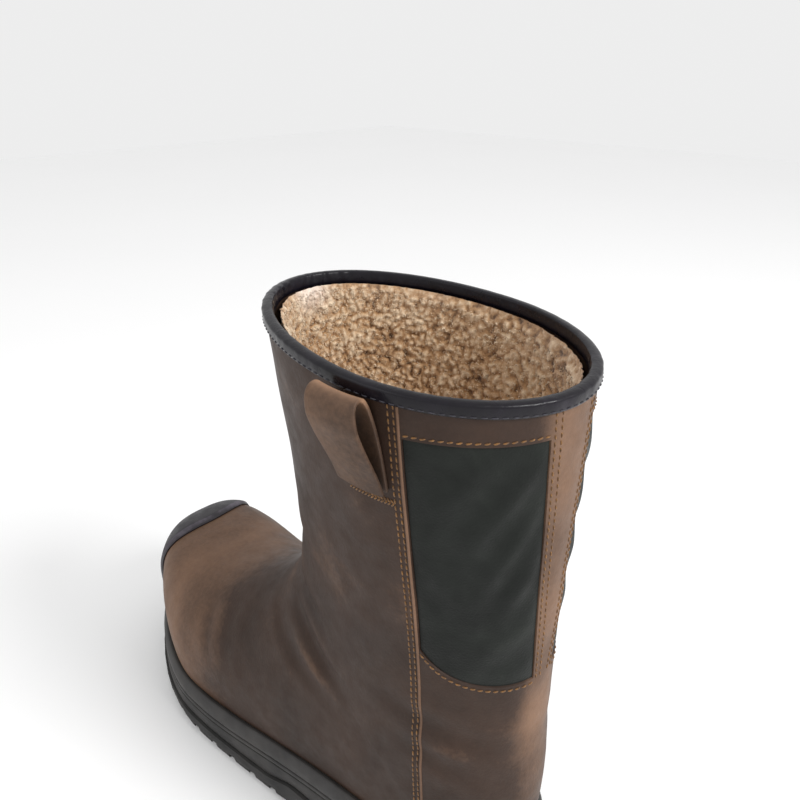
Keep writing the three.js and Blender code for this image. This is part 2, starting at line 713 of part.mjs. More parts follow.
// The pull loops. The hole through each is cut a little wider than the strap.
const LOOP_CUT = 1.2;
const loopOutside = LOOP_CORNERS.map(({ down, out }) => [
  GAP + out * LOOP_BULGE,
  -LOOP_DROP - down * LOOP_LENGTH,
]);
const seamTop = -LOOP_DROP - LOOP_LENGTH + LOOP_SEAM;
const openPart = loopOutside.slice(1, -1).filter(([, up]) => up > seamTop);
const loopInside = inset(openPart, LOOP_THICKNESS);
function loopOn(side) {
  const reach = skin(COLLAR_ROW, side * LOOP_PLACE).distanceTo(
    skin(COLLAR_ROW, side * (LOOP_PLACE + NUDGE)),
  );
  const half = ((LOOP_WIDTH / 2) * NUDGE) / reach;
  const lean = (side * LOOP_LEAN * NUDGE) / reach;
  const middle = side * LOOP_PLACE;
  const spread = (share) => steps(middle - half * share, middle + half * share, LOOP_STEPS);
  return sweepByCollar(spread(1), loopOutside, false, lean).subtract(
    sweepByCollar(spread(LOOP_CUT), loopInside, false, lean),
  );
}

const pieces = {
  outsole: { solid: outsole, color: 0x1d1c1b, roughness: 0.85 },
  midsole: { solid: midsole, color: 0x272523, roughness: 0.8 },
  insole: { solid: insole, color: 0x8f7a63, roughness: 0.95 },
  upper: { solid: upper, color: 0x5b4334, roughness: 0.6 },
  side_panel_left: { solid: panelLeft, color: 0x252726, roughness: 0.75 },
  side_panel_right: { solid: panelRight, color: 0x252726, roughness: 0.75 },
  toe_cap: { solid: toeCap, color: 0x232120, roughness: 0.7 },
  collar_binding: { solid: binding, color: 0x2b2733, roughness: 0.55 },
  pull_loop_left: { solid: loopOn(1), color: 0x4a362b, roughness: 0.65 },
  pull_loop_right: { solid: loopOn(-1), color: 0x4a362b, roughness: 0.65 },
};

const boot = new THREE.Group();
boot.name = "safety_boot";
for (const [name, { solid, color, roughness }] of Object.entries(pieces)) {
  const geometry = geometryFrom(solid);
  geometry.translate(-HEEL_CENTRE, 0, 0);
  const mesh = new THREE.Mesh(geometry, new THREE.MeshStandardMaterial({ color, roughness, metalness: 0 }));
  mesh.name = name;
  boot.add(mesh);
}

export default boot;
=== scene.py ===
# %% [markdown]
# # A lined pull-on safety boot
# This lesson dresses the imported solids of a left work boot. On the real boot, panels of oiled
# leather are sewn over a last, a soft fleece lining hangs inside, and the sole is moulded on. The
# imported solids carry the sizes. The visible pieces are modelled again with finer surfaces, and
# each of them stands for the solid that it covers.

import math

import bmesh
import bpy
import numpy as np
from mathutils import Matrix, Vector


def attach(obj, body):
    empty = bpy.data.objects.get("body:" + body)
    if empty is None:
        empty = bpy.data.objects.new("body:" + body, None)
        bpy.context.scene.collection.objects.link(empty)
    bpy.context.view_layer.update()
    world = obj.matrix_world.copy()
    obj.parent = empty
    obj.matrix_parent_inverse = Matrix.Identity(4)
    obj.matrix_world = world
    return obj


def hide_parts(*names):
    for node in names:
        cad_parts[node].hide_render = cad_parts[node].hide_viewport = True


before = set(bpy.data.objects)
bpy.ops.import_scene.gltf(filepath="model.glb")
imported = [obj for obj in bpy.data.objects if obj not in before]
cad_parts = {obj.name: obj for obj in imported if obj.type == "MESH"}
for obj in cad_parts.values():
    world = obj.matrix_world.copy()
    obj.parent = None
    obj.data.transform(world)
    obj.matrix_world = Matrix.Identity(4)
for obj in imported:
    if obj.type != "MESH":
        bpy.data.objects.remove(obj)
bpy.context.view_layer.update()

# %% [markdown]
# ## The last in numbers
# A boot has the shape of its last. The same tables as in the part's source give that shape here,
# so the fine surfaces sit exactly on the solids. Sculpting by hand would drift from them. Lengths
# are in millimetres, with x from the back of the heel, y to the outer side and z up.

# %% The tables of the last
LENGTH = 293.0
HEEL_CENTRE = 39.0
BALL_WIDTH = 104.0
ANKLE_WIDTH = 82.0
COLLAR_WIDTH = 114.0
HEEL_SEAT = 39.0
BALL_SEAT = 26.0
TOE_SPRING = 12.0
INSTEP_HEIGHT = 158.0
COLLAR_HEIGHT = 285.0
COLLAR_DROP = 9.0
COLLAR_DEPTH = 158.5
COLLAR_OVERHANG = 10.0
WALL = 2.6
GAP = 0.3
TOP_SHARE = 0.6
FOOT_TABLE = np.array([
    # back, front, up, edge, wide, low, round, lean
    (0.998, 1, 0.32, 0.1, 0.11, 0.4, 2.3, -0.125),
    (0.993, 1.003, 0.4, 0.22, 0.25, 0.38, 2.5, -0.128),
    (0.978, 0.995, 0.46, 0.42, 0.46, 0.36, 2.7, -0.122),
    (0.95, 0.972, 0.505, 0.585, 0.625, 0.34, 2.8, -0.118),
    (0.908, 0.931, 0.535, 0.735, 0.78, 0.33, 2.75, -0.096),
    (0.85, 0.875, 0.55, 0.865, 0.9, 0.32, 2.6, -0.062),
    (0.786, 0.812, 0.56, 0.95, 0.985, 0.31, 2.4, -0.032),
    (0.716, 0.745, 0.573, 0.98, 1.015, 0.31, 2.25, -0.006),
    (0.64, 0.68, 0.6, 0.95, 0.99, 0.32, 2.15, 0.006),
    (0.556, 0.622, 0.64, 0.875, 0.935, 0.33, 2.1, 0.018),
    (0.468, 0.572, 0.69, 0.79, 0.875, 0.35, 2.05, 0.026),
    (0.378, 0.532, 0.745, 0.725, 0.83, 0.38, 2, 0.028),
    (0.29, 0.504, 0.8, 0.69, 0.8, 0.41, 2, 0.024),
    (0.208, 0.487, 0.85, 0.675, 0.79, 0.44, 2, 0.016),
    (0.125, 0.477, 0.895, 0.645, 0.785, 0.47, 2, 0.008),
    (0.058, 0.471, 0.935, 0.56, 0.785, 0.49, 2, 0.002),
    (0.012, 0.469, 0.97, 0.29, 0.787, 0.5, 2, 0),
    (0, 0.468, 1, 0, 0.79, 0.5, 2, 0),
])
SHAFT_TABLE = np.array([
    # rise, out, lift, flare, spread, low
    (0.08, 0.3, 0.085, -0.01, 0.01, 0.5),
    (0.175, 0.42, 0.185, 0.01, 0.04, 0.5),
    (0.285, 0.36, 0.295, 0.07, 0.1, 0.5),
    (0.4, 0.36, 0.41, 0.17, 0.21, 0.49),
    (0.52, 0.46, 0.53, 0.31, 0.34, 0.475),
    (0.64, 0.6, 0.65, 0.48, 0.52, 0.46),
    (0.76, 0.75, 0.77, 0.66, 0.7, 0.45),
    (0.88, 0.89, 0.885, 0.83, 0.86, 0.44),
    (1, 1, 1, 1, 1, 0.44),
])
HEEL_ROW = len(FOOT_TABLE) - 1
COLLAR_ROW = HEEL_ROW + len(SHAFT_TABLE)


# %% Smooth values between the rows
def through(values, place):
    """A smooth value through a list, where whole numbers are the list's own values."""
    last = len(values) - 1
    place = np.clip(place, 0, last)
    i = np.minimum(place.astype(int), last - 1)
    s = place - i
    start, end = values[i], values[i + 1]
    before = np.where(i > 0, values[np.maximum(i - 1, 0)], 2 * start - end)
    after = np.where(i + 2 <= last, values[np.minimum(i + 2, last)], 2 * end - start)
    leaving = (end - before) / 2 * s * (1 - s) ** 2
    arriving = (after - start) / 2 * s * s * (1 - s)
    return start * (1 + s * s * (2 * s - 3)) + leaving + end * s * s * (3 - 2 * s) - arriving


def blend(x, first, last):
    """Rises smoothly from 0 at first to 1 at last."""
    t = np.clip((x - first) / (last - first), 0, 1)
    return t * t * (3 - 2 * t)


def spring_at(x):
    """How far the toe spring has lifted the sole."""
    return TOE_SPRING * np.maximum((x / LENGTH - 0.7) / 0.3, 0) ** 1.8


def seat_at(x):
    """Height of the seat on which the upper stands."""
    return HEEL_SEAT + (BALL_SEAT - HEEL_SEAT) * blend(x / LENGTH, 0.08, 0.66) + spring_at(x)


def last_columns():
    foot, shaft = FOOT_TABLE.T, SHAFT_TABLE.T
    throat = foot[1, -1] * LENGTH
    none = np.zeros(len(SHAFT_TABLE))
    ankle_to_collar = shaft[4] * (COLLAR_WIDTH - ANKLE_WIDTH)
    join = np.concatenate
    return {
        "bx": join([foot[0] * LENGTH, -shaft[1] * COLLAR_OVERHANG]),
        "fx": join([foot[1] * LENGTH, throat + shaft[3] * (COLLAR_DEPTH - COLLAR_OVERHANG - throat)]),
        "fz": join([foot[2] * INSTEP_HEIGHT, INSTEP_HEIGHT + shaft[2] * (COLLAR_HEIGHT - INSTEP_HEIGHT)]),
        "edge": join([foot[3] * BALL_WIDTH / 2, none]),
        "wide": join([foot[4] * BALL_WIDTH / 2, (ANKLE_WIDTH + ankle_to_collar) / 2]),
        "low": join([foot[5], shaft[5]]),
        "round": join([foot[6], none + 2]),
        "lean": join([foot[7] * BALL_WIDTH, none]),
        "back": HEEL_SEAT + join([[0], shaft[0]]) * (COLLAR_HEIGHT - COLLAR_DROP - HEEL_SEAT),
    }


LAST = last_columns()


# %% The surface of the last
def skin(u, v):
    """A point of the last. u is 0 at the toe, 17 at the heel and 26 at the collar. v is -1 at the
    inner edge of the sole or at the back, 0 along the front and 1 at the outer edge or the back."""
    u, v = np.broadcast_arrays(np.asarray(u, float), np.asarray(v, float))
    s = {key: through(LAST[key], u) for key in ("bx", "fx", "fz", "wide", "low", "round", "lean")}
    seated = u <= HEEL_ROW
    bz = np.where(seated, seat_at(s["bx"]), through(LAST["back"], u - HEEL_ROW))
    foot_edge = through(LAST["edge"][: HEEL_ROW + 1], np.minimum(u, HEEL_ROW))
    edge = np.where(seated, np.maximum(foot_edge, 0), 0)
    a = np.abs(v)
    top = a <= TOP_SHARE
    part = np.where(top, 1 - a / TOP_SHARE, (1 - a) / (1 - TOP_SHARE))
    turn = part * math.pi / 2
    power = 2 / s["round"]
    curved = 1 - edge / s["wide"]
    low = s["low"]
    rising = low + (1 - low) * np.sin(turn) ** power
    standing = low * (part * (1 - curved) + (1 - np.cos(turn)) * curved)
    along = np.where(top, rising, standing)
    arch = s["wide"] * np.maximum(np.cos(turn), 0) ** power
    half = np.where(top, arch, edge + (s["wide"] - edge) * np.sin(turn))
    half = np.where(a == 0, 0, half)
    x = s["bx"] + along * (s["fx"] - s["bx"])
    z = bz + along * (s["fz"] - bz)
    return np.stack([x, s["lean"] + np.sign(v) * half, z], -1)


def outward(u, v):
    """The outward direction of the last. Down the back it lies in the middle plane."""
    nudge = 0.004
    across = skin(u, np.minimum(v + nudge, 1)) - skin(u, np.maximum(v - nudge, -1))
    up = skin(np.minimum(u + nudge, COLLAR_ROW), v) - skin(np.maximum(u - nudge, 0), v)
    u, v = np.broadcast_arrays(u, v)
    back = (u >= HEEL_ROW) & (np.abs(v) > 1 - 1e-9)
    across[back] = (0, -1, 0)
    up[back, 1] = 0
    normal = np.cross(across, up)
    return normal / np.linalg.norm(normal, axis=-1, keepdims=True)


def off_last(u, v, distance):
    """A point a distance outside the last, or inside it where the distance is negative."""
    return skin(u, v) + outward(u, v) * np.asarray(distance, float)[..., None]


def solve(wanted, measure, u, v):
    """The places u and v at which two measures of the surface have their wanted values."""
    nudge = 1e-4
    for _ in range(25):
        here = measure(skin(u, v))
        miss = wanted - here
        by_u = (measure(skin(u + nudge, v)) - here) / nudge
        by_v = (measure(skin(u, v + nudge)) - here) / nudge
        area = by_u[..., 0] * by_v[..., 1] - by_u[..., 1] * by_v[..., 0]
        step_u = (miss[..., 0] * by_v[..., 1] - miss[..., 1] * by_v[..., 0]) / area
        step_v = (by_u[..., 0] * miss[..., 1] - by_u[..., 1] * miss[..., 0]) / area
        u = np.clip(u + np.clip(step_u, -0.5, 0.5), HEEL_ROW, COLLAR_ROW - 0.001)
        v = np.clip(v + np.clip(step_v, -0.04, 0.04), 0.02, 0.999)
    return u, v


probe = off_last(np.array([17.0, 26.0]), np.array([0.0, 0.0]), np.zeros(2))
print("throat and collar front in mm:", np.round(probe, 1).tolist())

# %% [markdown]
# ## Small helpers
# Almost every piece is a cut sheet of leather or cloth, so it starts as Blender's grid primitive.
# Its points are then moved to their places on the last, and its own UV map keeps the rows and
# columns of the cut sheet. Modifiers give it thickness and round edges.


# %% Sheets, modifiers and shading
def metres(points):
    return (np.asarray(points, float) - (HEEL_CENTRE, 0, 0)) / 1000


def alone(piece):
    bpy.ops.object.select_all(action="DESELECT")
    piece.select_set(True)
    bpy.context.view_layer.objects.active = piece


def sheet_from(name, points, **values):
    """A grid primitive moved to points[row, column], with named values kept as attributes."""
    rows, columns = points.shape[:2]
    bpy.ops.object.select_all(action="DESELECT")
    bpy.ops.mesh.primitive_grid_add(x_subdivisions=columns - 1, y_subdivisions=rows - 1, size=1)
    piece = bpy.context.object
    piece.name = piece.data.name = name
    flat = np.empty(len(piece.data.vertices) * 3)
    piece.data.vertices.foreach_get("co", flat)
    flat = flat.reshape(-1, 3)
    column = np.rint((flat[:, 0] + 0.5) * (columns - 1)).astype(int)
    row = np.rint((flat[:, 1] + 0.5) * (rows - 1)).astype(int)
    piece.data.vertices.foreach_set("co", metres(points[row, column]).ravel())
    for key, value in values.items():
        made = piece.data.attributes.new(key, "FLOAT", "POINT")
        made.data.foreach_set("value", np.ascontiguousarray(value[row, column], np.float32))
    return piece


def weld(piece, distance=1e-6):
    alone(piece)
    bpy.ops.object.mode_set(mode="EDIT")
    bpy.ops.mesh.select_all(action="SELECT")
    bpy.ops.mesh.remove_doubles(threshold=distance)
    bpy.ops.object.mode_set(mode="OBJECT")


def modify(piece, kind, **settings):
    alone(piece)
    bpy.ops.object.modifier_add(type=kind)
    modifier = piece.modifiers[-1]
    for key, value in settings.items():
        setattr(modifier, key, value)
    bpy.ops.object.modifier_apply(modifier=modifier.name)


def smooth(piece, degrees=35):
    alone(piece)
    bpy.ops.object.shade_smooth_by_angle(angle=math.radians(degrees))


def finish_piece(piece, material, slot, *nodes):
    piece.data.materials.clear()
    piece.data.materials.append(material)
    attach(piece, "root")
    if nodes:
        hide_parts(*nodes)
    count = sum(len(face.vertices) - 2 for face in piece.data.polygons)
    print(f"{piece.name}: {count} triangles")


# %% [markdown]
# ## Materials
# Each finish is built from nodes and named for what it really is. Hex colours are read as sRGB
# and turned to linear. Pattern scales come from a size in millimetres: the object coordinates are
# in metres, so a pattern that repeats every s millimetres has scale 1000 / s.


# %% Node helpers
def linear(code):
    """A hex colour as linear red, green, blue and alpha."""
    parts = [int(code[i:i + 2], 16) / 255 for i in (1, 3, 5)]
    return [c / 12.92 if c <= 0.04045 else ((c + 0.055) / 1.055) ** 2.4 for c in parts] + [1]


def add(material, kind, links=None, **settings):
    """Adds a node. links fills its inputs, by name or number, with sockets or plain values."""
    made = material.node_tree.nodes.new("ShaderNode" + kind)
    for key, value in settings.items():
        setattr(made, key, value)
    for key, value in (links or {}).items():
        if isinstance(value, bpy.types.NodeSocket):
            material.node_tree.links.new(value, made.inputs[key])
        else:
            made.inputs[key].default_value = value
    return made


def ramp(material, factor, stops):
    """A colour ramp from (place, hex) stops."""
    made = add(material, "ValToRGB", {0: factor})
    elements = made.color_ramp.elements
    while len(elements) < len(stops):
        elements.new(0.5)
    for element, (place, code) in zip(elements, stops):
        element.position = place
        element.color = linear(code)
    return made.outputs["Color"]


def noise(material, size, detail=3.0, rough=0.5, twist=0.0, place=None):
    """Noise with features of a size in millimetres."""
    place = place or add(material, "TexCoord").outputs["Object"]
    settings = {"Vector": place, "Scale": 1000 / size, "Detail": detail,
                "Roughness": rough, "Distortion": twist}
    return add(material, "TexNoise", settings).outputs["Fac"]


def cells(material, size, feature="F1", place=None):
    """Cells with a size in millimetres. The value is the distance from the middle or the border."""
    place = place or add(material, "TexCoord").outputs["Object"]
    made = add(material, "TexVoronoi", {"Vector": place, "Scale": 1000 / size}, feature=feature)
    return made.outputs["Distance"]


def maths(material, operation, *values):
    made = add(material, "Math", dict(enumerate(values)), operation=operation)
    return made.outputs[0]


def spread(material, value, low, high, first=0.0, last=1.0):
    """Maps a value from low..high to first..last, held at the ends."""
    links = {"Value": value, "From Min": low, "From Max": high, "To Min": first, "To Max": last}
    return add(material, "MapRange", links).outputs["Result"]


def mixed(material, factor, first, second, mode="MIX"):
    """One colour over another."""
    links = {"Factor": factor, 6: first, 7: second}
    return add(material, "Mix", links, data_type="RGBA", blend_type=mode).outputs[2]


def carried(material, name):
    return add(material, "Attribute", attribute_name=name).outputs["Fac"]


def bumped(material, height, distance, strength=1.0, under=None):
    """A bump of a height in millimetres."""
    links = {"Height": height, "Distance": distance / 1000, "Strength": strength}
    if under:
        links["Normal"] = under
    return add(material, "Bump", links).outputs["Normal"]


def start(name):
    material = bpy.data.materials.new(name)
    material.use_nodes = True
    return material


def shade(material, color, rough, normal=None, **constants):
    """Connects the shader. Constants go on its own sockets, with spaces for underscores."""
    shader = material.node_tree.nodes["Principled BSDF"]
    join = material.node_tree.links.new
    join(color, shader.inputs["Base Color"])
    if isinstance(rough, bpy.types.NodeSocket):
        join(rough, shader.inputs["Roughness"])
    else:
        shader.inputs["Roughness"].default_value = rough
    if normal:
        join(normal, shader.inputs["Normal"])
    for key, value in constants.items():
        shader.inputs[key.replace("_", " ")].default_value = value
    return material


# %% [markdown]
# ### Oiled leather
# The brown panels are oiled nubuck: a full skin, sanded a little and soaked with oil and wax. The
# eye gets a dark, warm, slightly greasy surface with cloudy patches, lighter where it is pulled.
# A value kept on the mesh also paints highlights in: the back strip and the seam's raised edge
# are painted lighter, and the toe is painted lighter too. The grain is under a millimetre, drawn a
# little coarser so that it shows.


# %% Oiled leather
def oiled_leather(name, dark, middle, light):
    m = start(name)
    clouds = noise(m, 55, 4, 0.5, 0.3)
    specks = noise(m, 2.6, 4, 0.65)
    # A value kept on the mesh lightens the leather: pull-up wear on creases, and painted highlights on
    # the back strip and the seam's raised edge.
    wear = carried(m, "wear")
    tone = maths(m, "ADD", spread(m, clouds, 0.3, 0.7, 0.28, 0.56), maths(m, "MULTIPLY", specks, 0.22))
    tone = maths(m, "ADD", maths(m, "SUBTRACT", tone, 0.1), maths(m, "MULTIPLY", wear, 0.5))
    color = ramp(m, tone, [(0.12, dark), (0.5, middle), (1.0, light)])
    rough = spread(m, noise(m, 9, 4, 0.6), 0.3, 0.7, 0.46, 0.62)
    grain = bumped(m, cells(m, 1.3), 0.10, 0.5)
    pores = bumped(m, noise(m, 0.9, 3, 0.7), 0.14, 0.5, grain)
    waves = bumped(m, noise(m, 17, 3, 0.55), 0.5, 0.35, pores)
    return shade(m, color, rough, waves, IOR=1.47, Specular_IOR_Level=0.22, Coat_Weight=0.02,
                 Coat_Roughness=0.42)


brown_leather = oiled_leather("oiled_nubuck_dark_brown", "#1d140f", "#3b2b22", "#856650")
strap_leather = oiled_leather("oiled_strap_leather", "#261b15", "#45352b", "#9a775d")

# %% [markdown]
# ### Soft panel, binding and cap
# The side panels are thin soft leather, coated matt black, with a fine pebbled grain. The collar
# binding is a strip of smooth coated fabric, almost navy, with a satin gloss on its roll. The toe
# is guarded by a moulded rubber-coated cap, satin black with faint dusty clouds. A pale band along
# its bevelled back edge is a painted highlight.


# %% Soft panel, binding and cap
def pebbled_panel():
    m = start("soft_black_garment_leather")
    clouds = noise(m, 26, 4, 0.6, 0.4)
    color = ramp(m, clouds, [(0.25, "#0f110f"), (0.6, "#1b1e1b"), (0.9, "#2c2f2b")])
    pebble = bumped(m, cells(m, 1.5, "DISTANCE_TO_EDGE"), 0.3, 0.55)
    fine = bumped(m, noise(m, 1.1, 3, 0.7), 0.12, 0.5, pebble)
    rough = spread(m, noise(m, 12, 3), 0.3, 0.7, 0.5, 0.66)
    return shade(m, color, rough, fine, IOR=1.46, Specular_IOR_Level=0.2)


def satin_binding():
    m = start("coated_binding_satin_navy_black")
    clouds = noise(m, 14, 4, 0.6)
    color = ramp(m, clouds, [(0.3, "#0d0b10"), (0.6, "#151219"), (0.9, "#241f2a")])
    leather = bumped(m, noise(m, 1.4, 3, 0.65), 0.12, 0.5)
    pucker = bumped(m, noise(m, 4.5, 2, 0.5, 0.8), 0.5, 0.35, leather)
    rough = spread(m, noise(m, 6, 3), 0.3, 0.7, 0.24, 0.4)
    return shade(m, color, rough, pucker, IOR=1.5, Specular_IOR_Level=0.24, Coat_Weight=0.03,
                 Coat_Roughness=0.3)


def satin_cap_with_edge_highlight():
    m = start("moulded_rubber_cap_satin_black")
    clouds = noise(m, 20, 5, 0.65)
    # Painted highlight: the value edge paints a pale band along the cap's bevelled back edge.
    edge = carried(m, "edge")
    tone = maths(m, "ADD", clouds, maths(m, "MULTIPLY", edge, 0.34))
    color = ramp(m, tone, [(0.3, "#1b181c"), (0.62, "#2a262b"), (1.0, "#6f6873")])
    texture = bumped(m, noise(m, 1.2, 4, 0.7), 0.16, 0.6)
    rough = spread(m, noise(m, 7, 3), 0.3, 0.7, 0.42, 0.6)
    return shade(m, color, rough, texture, IOR=1.5, Specular_IOR_Level=0.35)


panel_leather = pebbled_panel()
binding_cloth = satin_binding()
cap_rubber = satin_cap_with_edge_highlight()


# %% [markdown]
# ### Rubber and foam of the sole
# The outsole is pressed nitrile rubber, matt black, and the midsole is foamed polyurethane, a
# little lighter. Both leave the mould with a faint eroded texture, and dust sits in it.


# %% Rubber and foam
def moulded(name, dark, light, roughness):
    m = start(name)
    dust = noise(m, 30, 5, 0.65, 0.3)
    color = ramp(m, dust, [(0.35, dark), (0.85, light)])
    skin_bump = bumped(m, noise(m, 1.0, 3, 0.7), 0.1, 0.5)
    rough = spread(m, noise(m, 9, 3), 0.3, 0.7, roughness - 0.06, roughness + 0.08)
    return shade(m, color, rough, skin_bump, IOR=1.52)


outsole_rubber = moulded("pressed_nitrile_rubber_black", "#191817", "#33302e", 0.72)
midsole_foam = moulded("foamed_polyurethane_dark", "#22201f", "#403c39", 0.62)


# %% [markdown]
# ### Fleece and thread
# The lining is a curly pile like sheepskin, cut from a knitted fleece. The tips are painted pale
# beige as a painted highlight, and the gaps between the curls are painted a warm brown as painted
# shade. A value kept on the mesh, the pile height, drives this colour, because the gaps are
# geometry and not only paint. Near the rim and at the two ends the pile is paler.


# %% Fleece and thread
def curly_fleece(name):
    m = start(name)
    pile = carried(m, "pile")
    cream = carried(m, "cream")
    tuft = noise(m, 5, 4, 0.7)
    fibre = noise(m, 0.9, 3, 0.8)
    tone = maths(m, "ADD", pile, maths(m, "MULTIPLY", maths(m, "SUBTRACT", tuft, 0.5), 0.35))
    tone = maths(m, "ADD", tone, maths(m, "MULTIPLY", maths(m, "SUBTRACT", fibre, 0.5), 0.5))
    # Painted shade where the pile is low and painted highlight where it is high.
    color = ramp(m, tone, [(0.12, "#4a2f1a"), (0.4, "#b0875c"), (0.85, "#f0dabb")])
    color = mixed(m, cream, color, linear("#f6e6da"))
    fuzz = bumped(m, fibre, 0.6, 0.8)
    return shade(m, color, 0.95, fuzz, IOR=1.4, Sheen_Weight=0.25, Sheen_Roughness=0.6)


def twisted_thread(name, dark, light):
    m = start(name)
    ply = noise(m, 1.1, 2, 0.6)
    color = ramp(m, ply, [(0.3, dark), (0.7, light)])
    return shade(m, color, 0.6, bumped(m, ply, 0.08, 0.6), IOR=1.5, Sheen_Weight=0.1)


fleece = curly_fleece("curly_pile_fleece_beige")
ochre_thread = twisted_thread("bonded_polyester_thread_ochre", "#452c12", "#8a5f29")
dark_thread = twisted_thread("bonded_polyester_thread_black", "#15131a", "#2c2934")
print("materials:", len(bpy.data.materials))

# %% [markdown]
# ## The leather upper
# The real upper is several panels sewn together, with a window in the back half of each side in
# which the soft panel lies. One sheet covers the whole last. Its rows and columns are bent so that
# they run along the edges of the window, and two lines close together make the clean step down
# into it. A texture could only fake that step.

# %% Where the side panels lie
PANEL_FRONT = 31.0
PANEL_TOP = 261.0
PANEL_BOTTOM = 146.0
PANEL_TILT = 14.0
PANEL_BOW = 3.7
PANEL_RECESS = 1.3
STRIP_TOP = 28.0
STRIP_BOTTOM = 13.0
corner = np.linspace(0, 1, 40)
CORNER_X = PANEL_FRONT * corner + PANEL_BOW * np.sin(math.pi * corner)
CORNER_Z = PANEL_BOTTOM + PANEL_TILT * corner ** 2


def strip_half(z):
    """Half the width of the strip of leather down the back."""
    share = (z - PANEL_BOTTOM) / (PANEL_TOP - PANEL_BOTTOM)
    return (STRIP_BOTTOM + share * (STRIP_TOP - STRIP_BOTTOM)) / 2


def panel_place(rise, share):
    """Places on the outer side panel. rise is 0 at its bottom and 1 at its top, share is 0 at its
    front edge and 1 at its back edge. Both may pass these ends a little."""
    rise, share = np.broadcast_arrays(np.asarray(rise, float), np.asarray(share, float))
    flat = rise.ravel()
    z_front = CORNER_Z[-1] + flat * (PANEL_TOP - CORNER_Z[-1])
    z_back = PANEL_BOTTOM + flat * (PANEL_TOP - PANEL_BOTTOM)
    wanted = np.stack([np.full_like(flat, PANEL_FRONT), z_front], -1)
    guess = np.full_like(flat, 21.5)
    _, v_front = solve(wanted, lambda p: p[..., [0, 2]], guess, np.full_like(flat, 0.72))
    wanted = np.stack([strip_half(z_back), z_back], -1)
    _, v_back = solve(wanted, lambda p: p[..., [1, 2]], guess, np.full_like(flat, 0.93))
    v = v_front + share.ravel() * (v_back - v_front)
    u = guess + (flat - 0.5) * 6
    for _ in range(20):
        here = skin(u, v)
        bottom = np.interp(here[:, 0], CORNER_X, CORNER_Z)
        climb = (skin(u + 1e-3, v)[:, 2] - here[:, 2]) / 1e-3
        wanted_z = bottom + flat * (PANEL_TOP - bottom)
        u = np.clip(u + np.clip((wanted_z - here[:, 2]) / climb, -1, 1), HEEL_ROW, COLLAR_ROW)
    return u.reshape(rise.shape), v.reshape(rise.shape)


corners = skin(*panel_place(np.array([0, 0, 1, 1.0]), np.array([0, 1, 0, 1.0])))
print("panel corners in mm:", np.round(corners, 1).tolist())


# %% Rows and columns of the upper
def with_step(count, tight):
    """Even shares from 0 to 1 with an extra one close to each end."""
    even = np.linspace(0, 1, count)
    return np.concatenate([[0, tight], even[1:-1], [1 - tight, 1]])


FOOT_LINES = 104
LOW_LINES = 26
BAND_LINES = 11
FRONT_COLUMNS = 54
STRIP_COLUMNS = 6


def half_grid():
    """u and v of the outer half, from the toe up to the collar and from the front to the back, and
    how far each point lies inside the panel's window."""
    rises = with_step(50, 0.004)
    shares = with_step(26, 0.007)
    window_u, window_v = panel_place(rises[:, None], shares[None, :])
    front = np.linspace(0, 1, FRONT_COLUMNS)[:-1]
    strip = np.linspace(0, 1, STRIP_COLUMNS)[1:]
    v_front, v_back = window_v[:, :1], window_v[:, -1:]
    middle_v = np.hstack([front * v_front, window_v, v_back + strip * (1 - v_back)])
    ahead = np.repeat(window_u[:, :1], len(front), 1)
    behind = np.repeat(window_u[:, -1:], len(strip), 1)
    middle_u = np.hstack([ahead, window_u, behind])
    inside = np.zeros_like(middle_u)
    inside[1:-1, len(front) + 1:len(front) + len(shares) - 1] = 1
    bottom_u, bottom_v = middle_u[:1], middle_v[:1]
    top_u, top_v = middle_u[-1:], middle_v[-1:]
    foot = np.linspace(0, HEEL_ROW, FOOT_LINES)[:, None]
    low = np.linspace(0, 1, LOW_LINES)[1:-1, None]
    band = np.linspace(0, 1, BAND_LINES)[1:, None]
    columns = middle_u.shape[1]
    u = np.vstack([
        np.repeat(foot, columns, 1),
        HEEL_ROW + low * (bottom_u - HEEL_ROW),
        middle_u,
        top_u + band * (COLLAR_ROW - top_u),
    ])
    below, above = len(foot) + len(low), len(band)
    v = np.vstack([np.repeat(bottom_v, below, 0), middle_v, np.repeat(top_v, above, 0)])
    inside = np.vstack([np.zeros((below, columns)), inside, np.zeros((above, columns))])
    return u, v, inside


def both_sides(outer_half, sign=1):
    """The inner half is the mirror image of the outer one."""
    return np.hstack([sign * outer_half[:, :0:-1], outer_half])


half_u, half_v, half_inside = half_grid()
upper_u = both_sides(half_u)
upper_v = both_sides(half_v, -1)
window = both_sides(half_inside)
print("upper grid:", upper_u.shape)

# %% [markdown]
# ## Creases
# Leather that has been pulled on a few times creases at the ankle, over the instep and behind the
# heel. Each crease is a soft trough with a low ridge beside it, placed as a line in the shoe's own
# sizes. A noise would put them anywhere, and real ones follow the bend of the foot.

# %% The creases
CREASES = [
    # side, points as (x, z) in millimetres, depth, width
    ("both", [(128, 128), (112, 121), (94, 112), (76, 106)], 1.5, 4.5),
    ("both", [(140, 140), (122, 138), (100, 133), (84, 130)], 1.2, 5.0),
    ("outer", [(146, 118), (130, 106), (108, 98), (88, 94)], 0.9, 4.0),
    ("both", [(8, 96), (22, 100), (40, 104)], 0.9, 4.5),
    ("both", [(2, 112), (18, 117), (38, 122), (54, 124)], 1.0, 5.0),
    ("inner", [(6, 82), (24, 84), (44, 90)], 0.8, 4.0),
    ("outer", [(136, 176), (120, 168), (104, 164)], 0.8, 6.0),
    ("inner", [(138, 190), (118, 178), (96, 170)], 0.9, 6.0),
    ("outer", [(60, 150), (74, 158), (92, 162)], 0.6, 6.0),
    ("outer", [(196, 84), (190, 72), (184, 58)], 0.5, 4.0),
    ("inner", [(202, 84), (196, 70), (190, 58)], 0.6, 4.0),
    ("outer", [(178, 92), (170, 76), (166, 60)], 0.5, 4.5),
    ("inner", [(184, 92), (176, 74), (172, 60)], 0.6, 4.5),
]


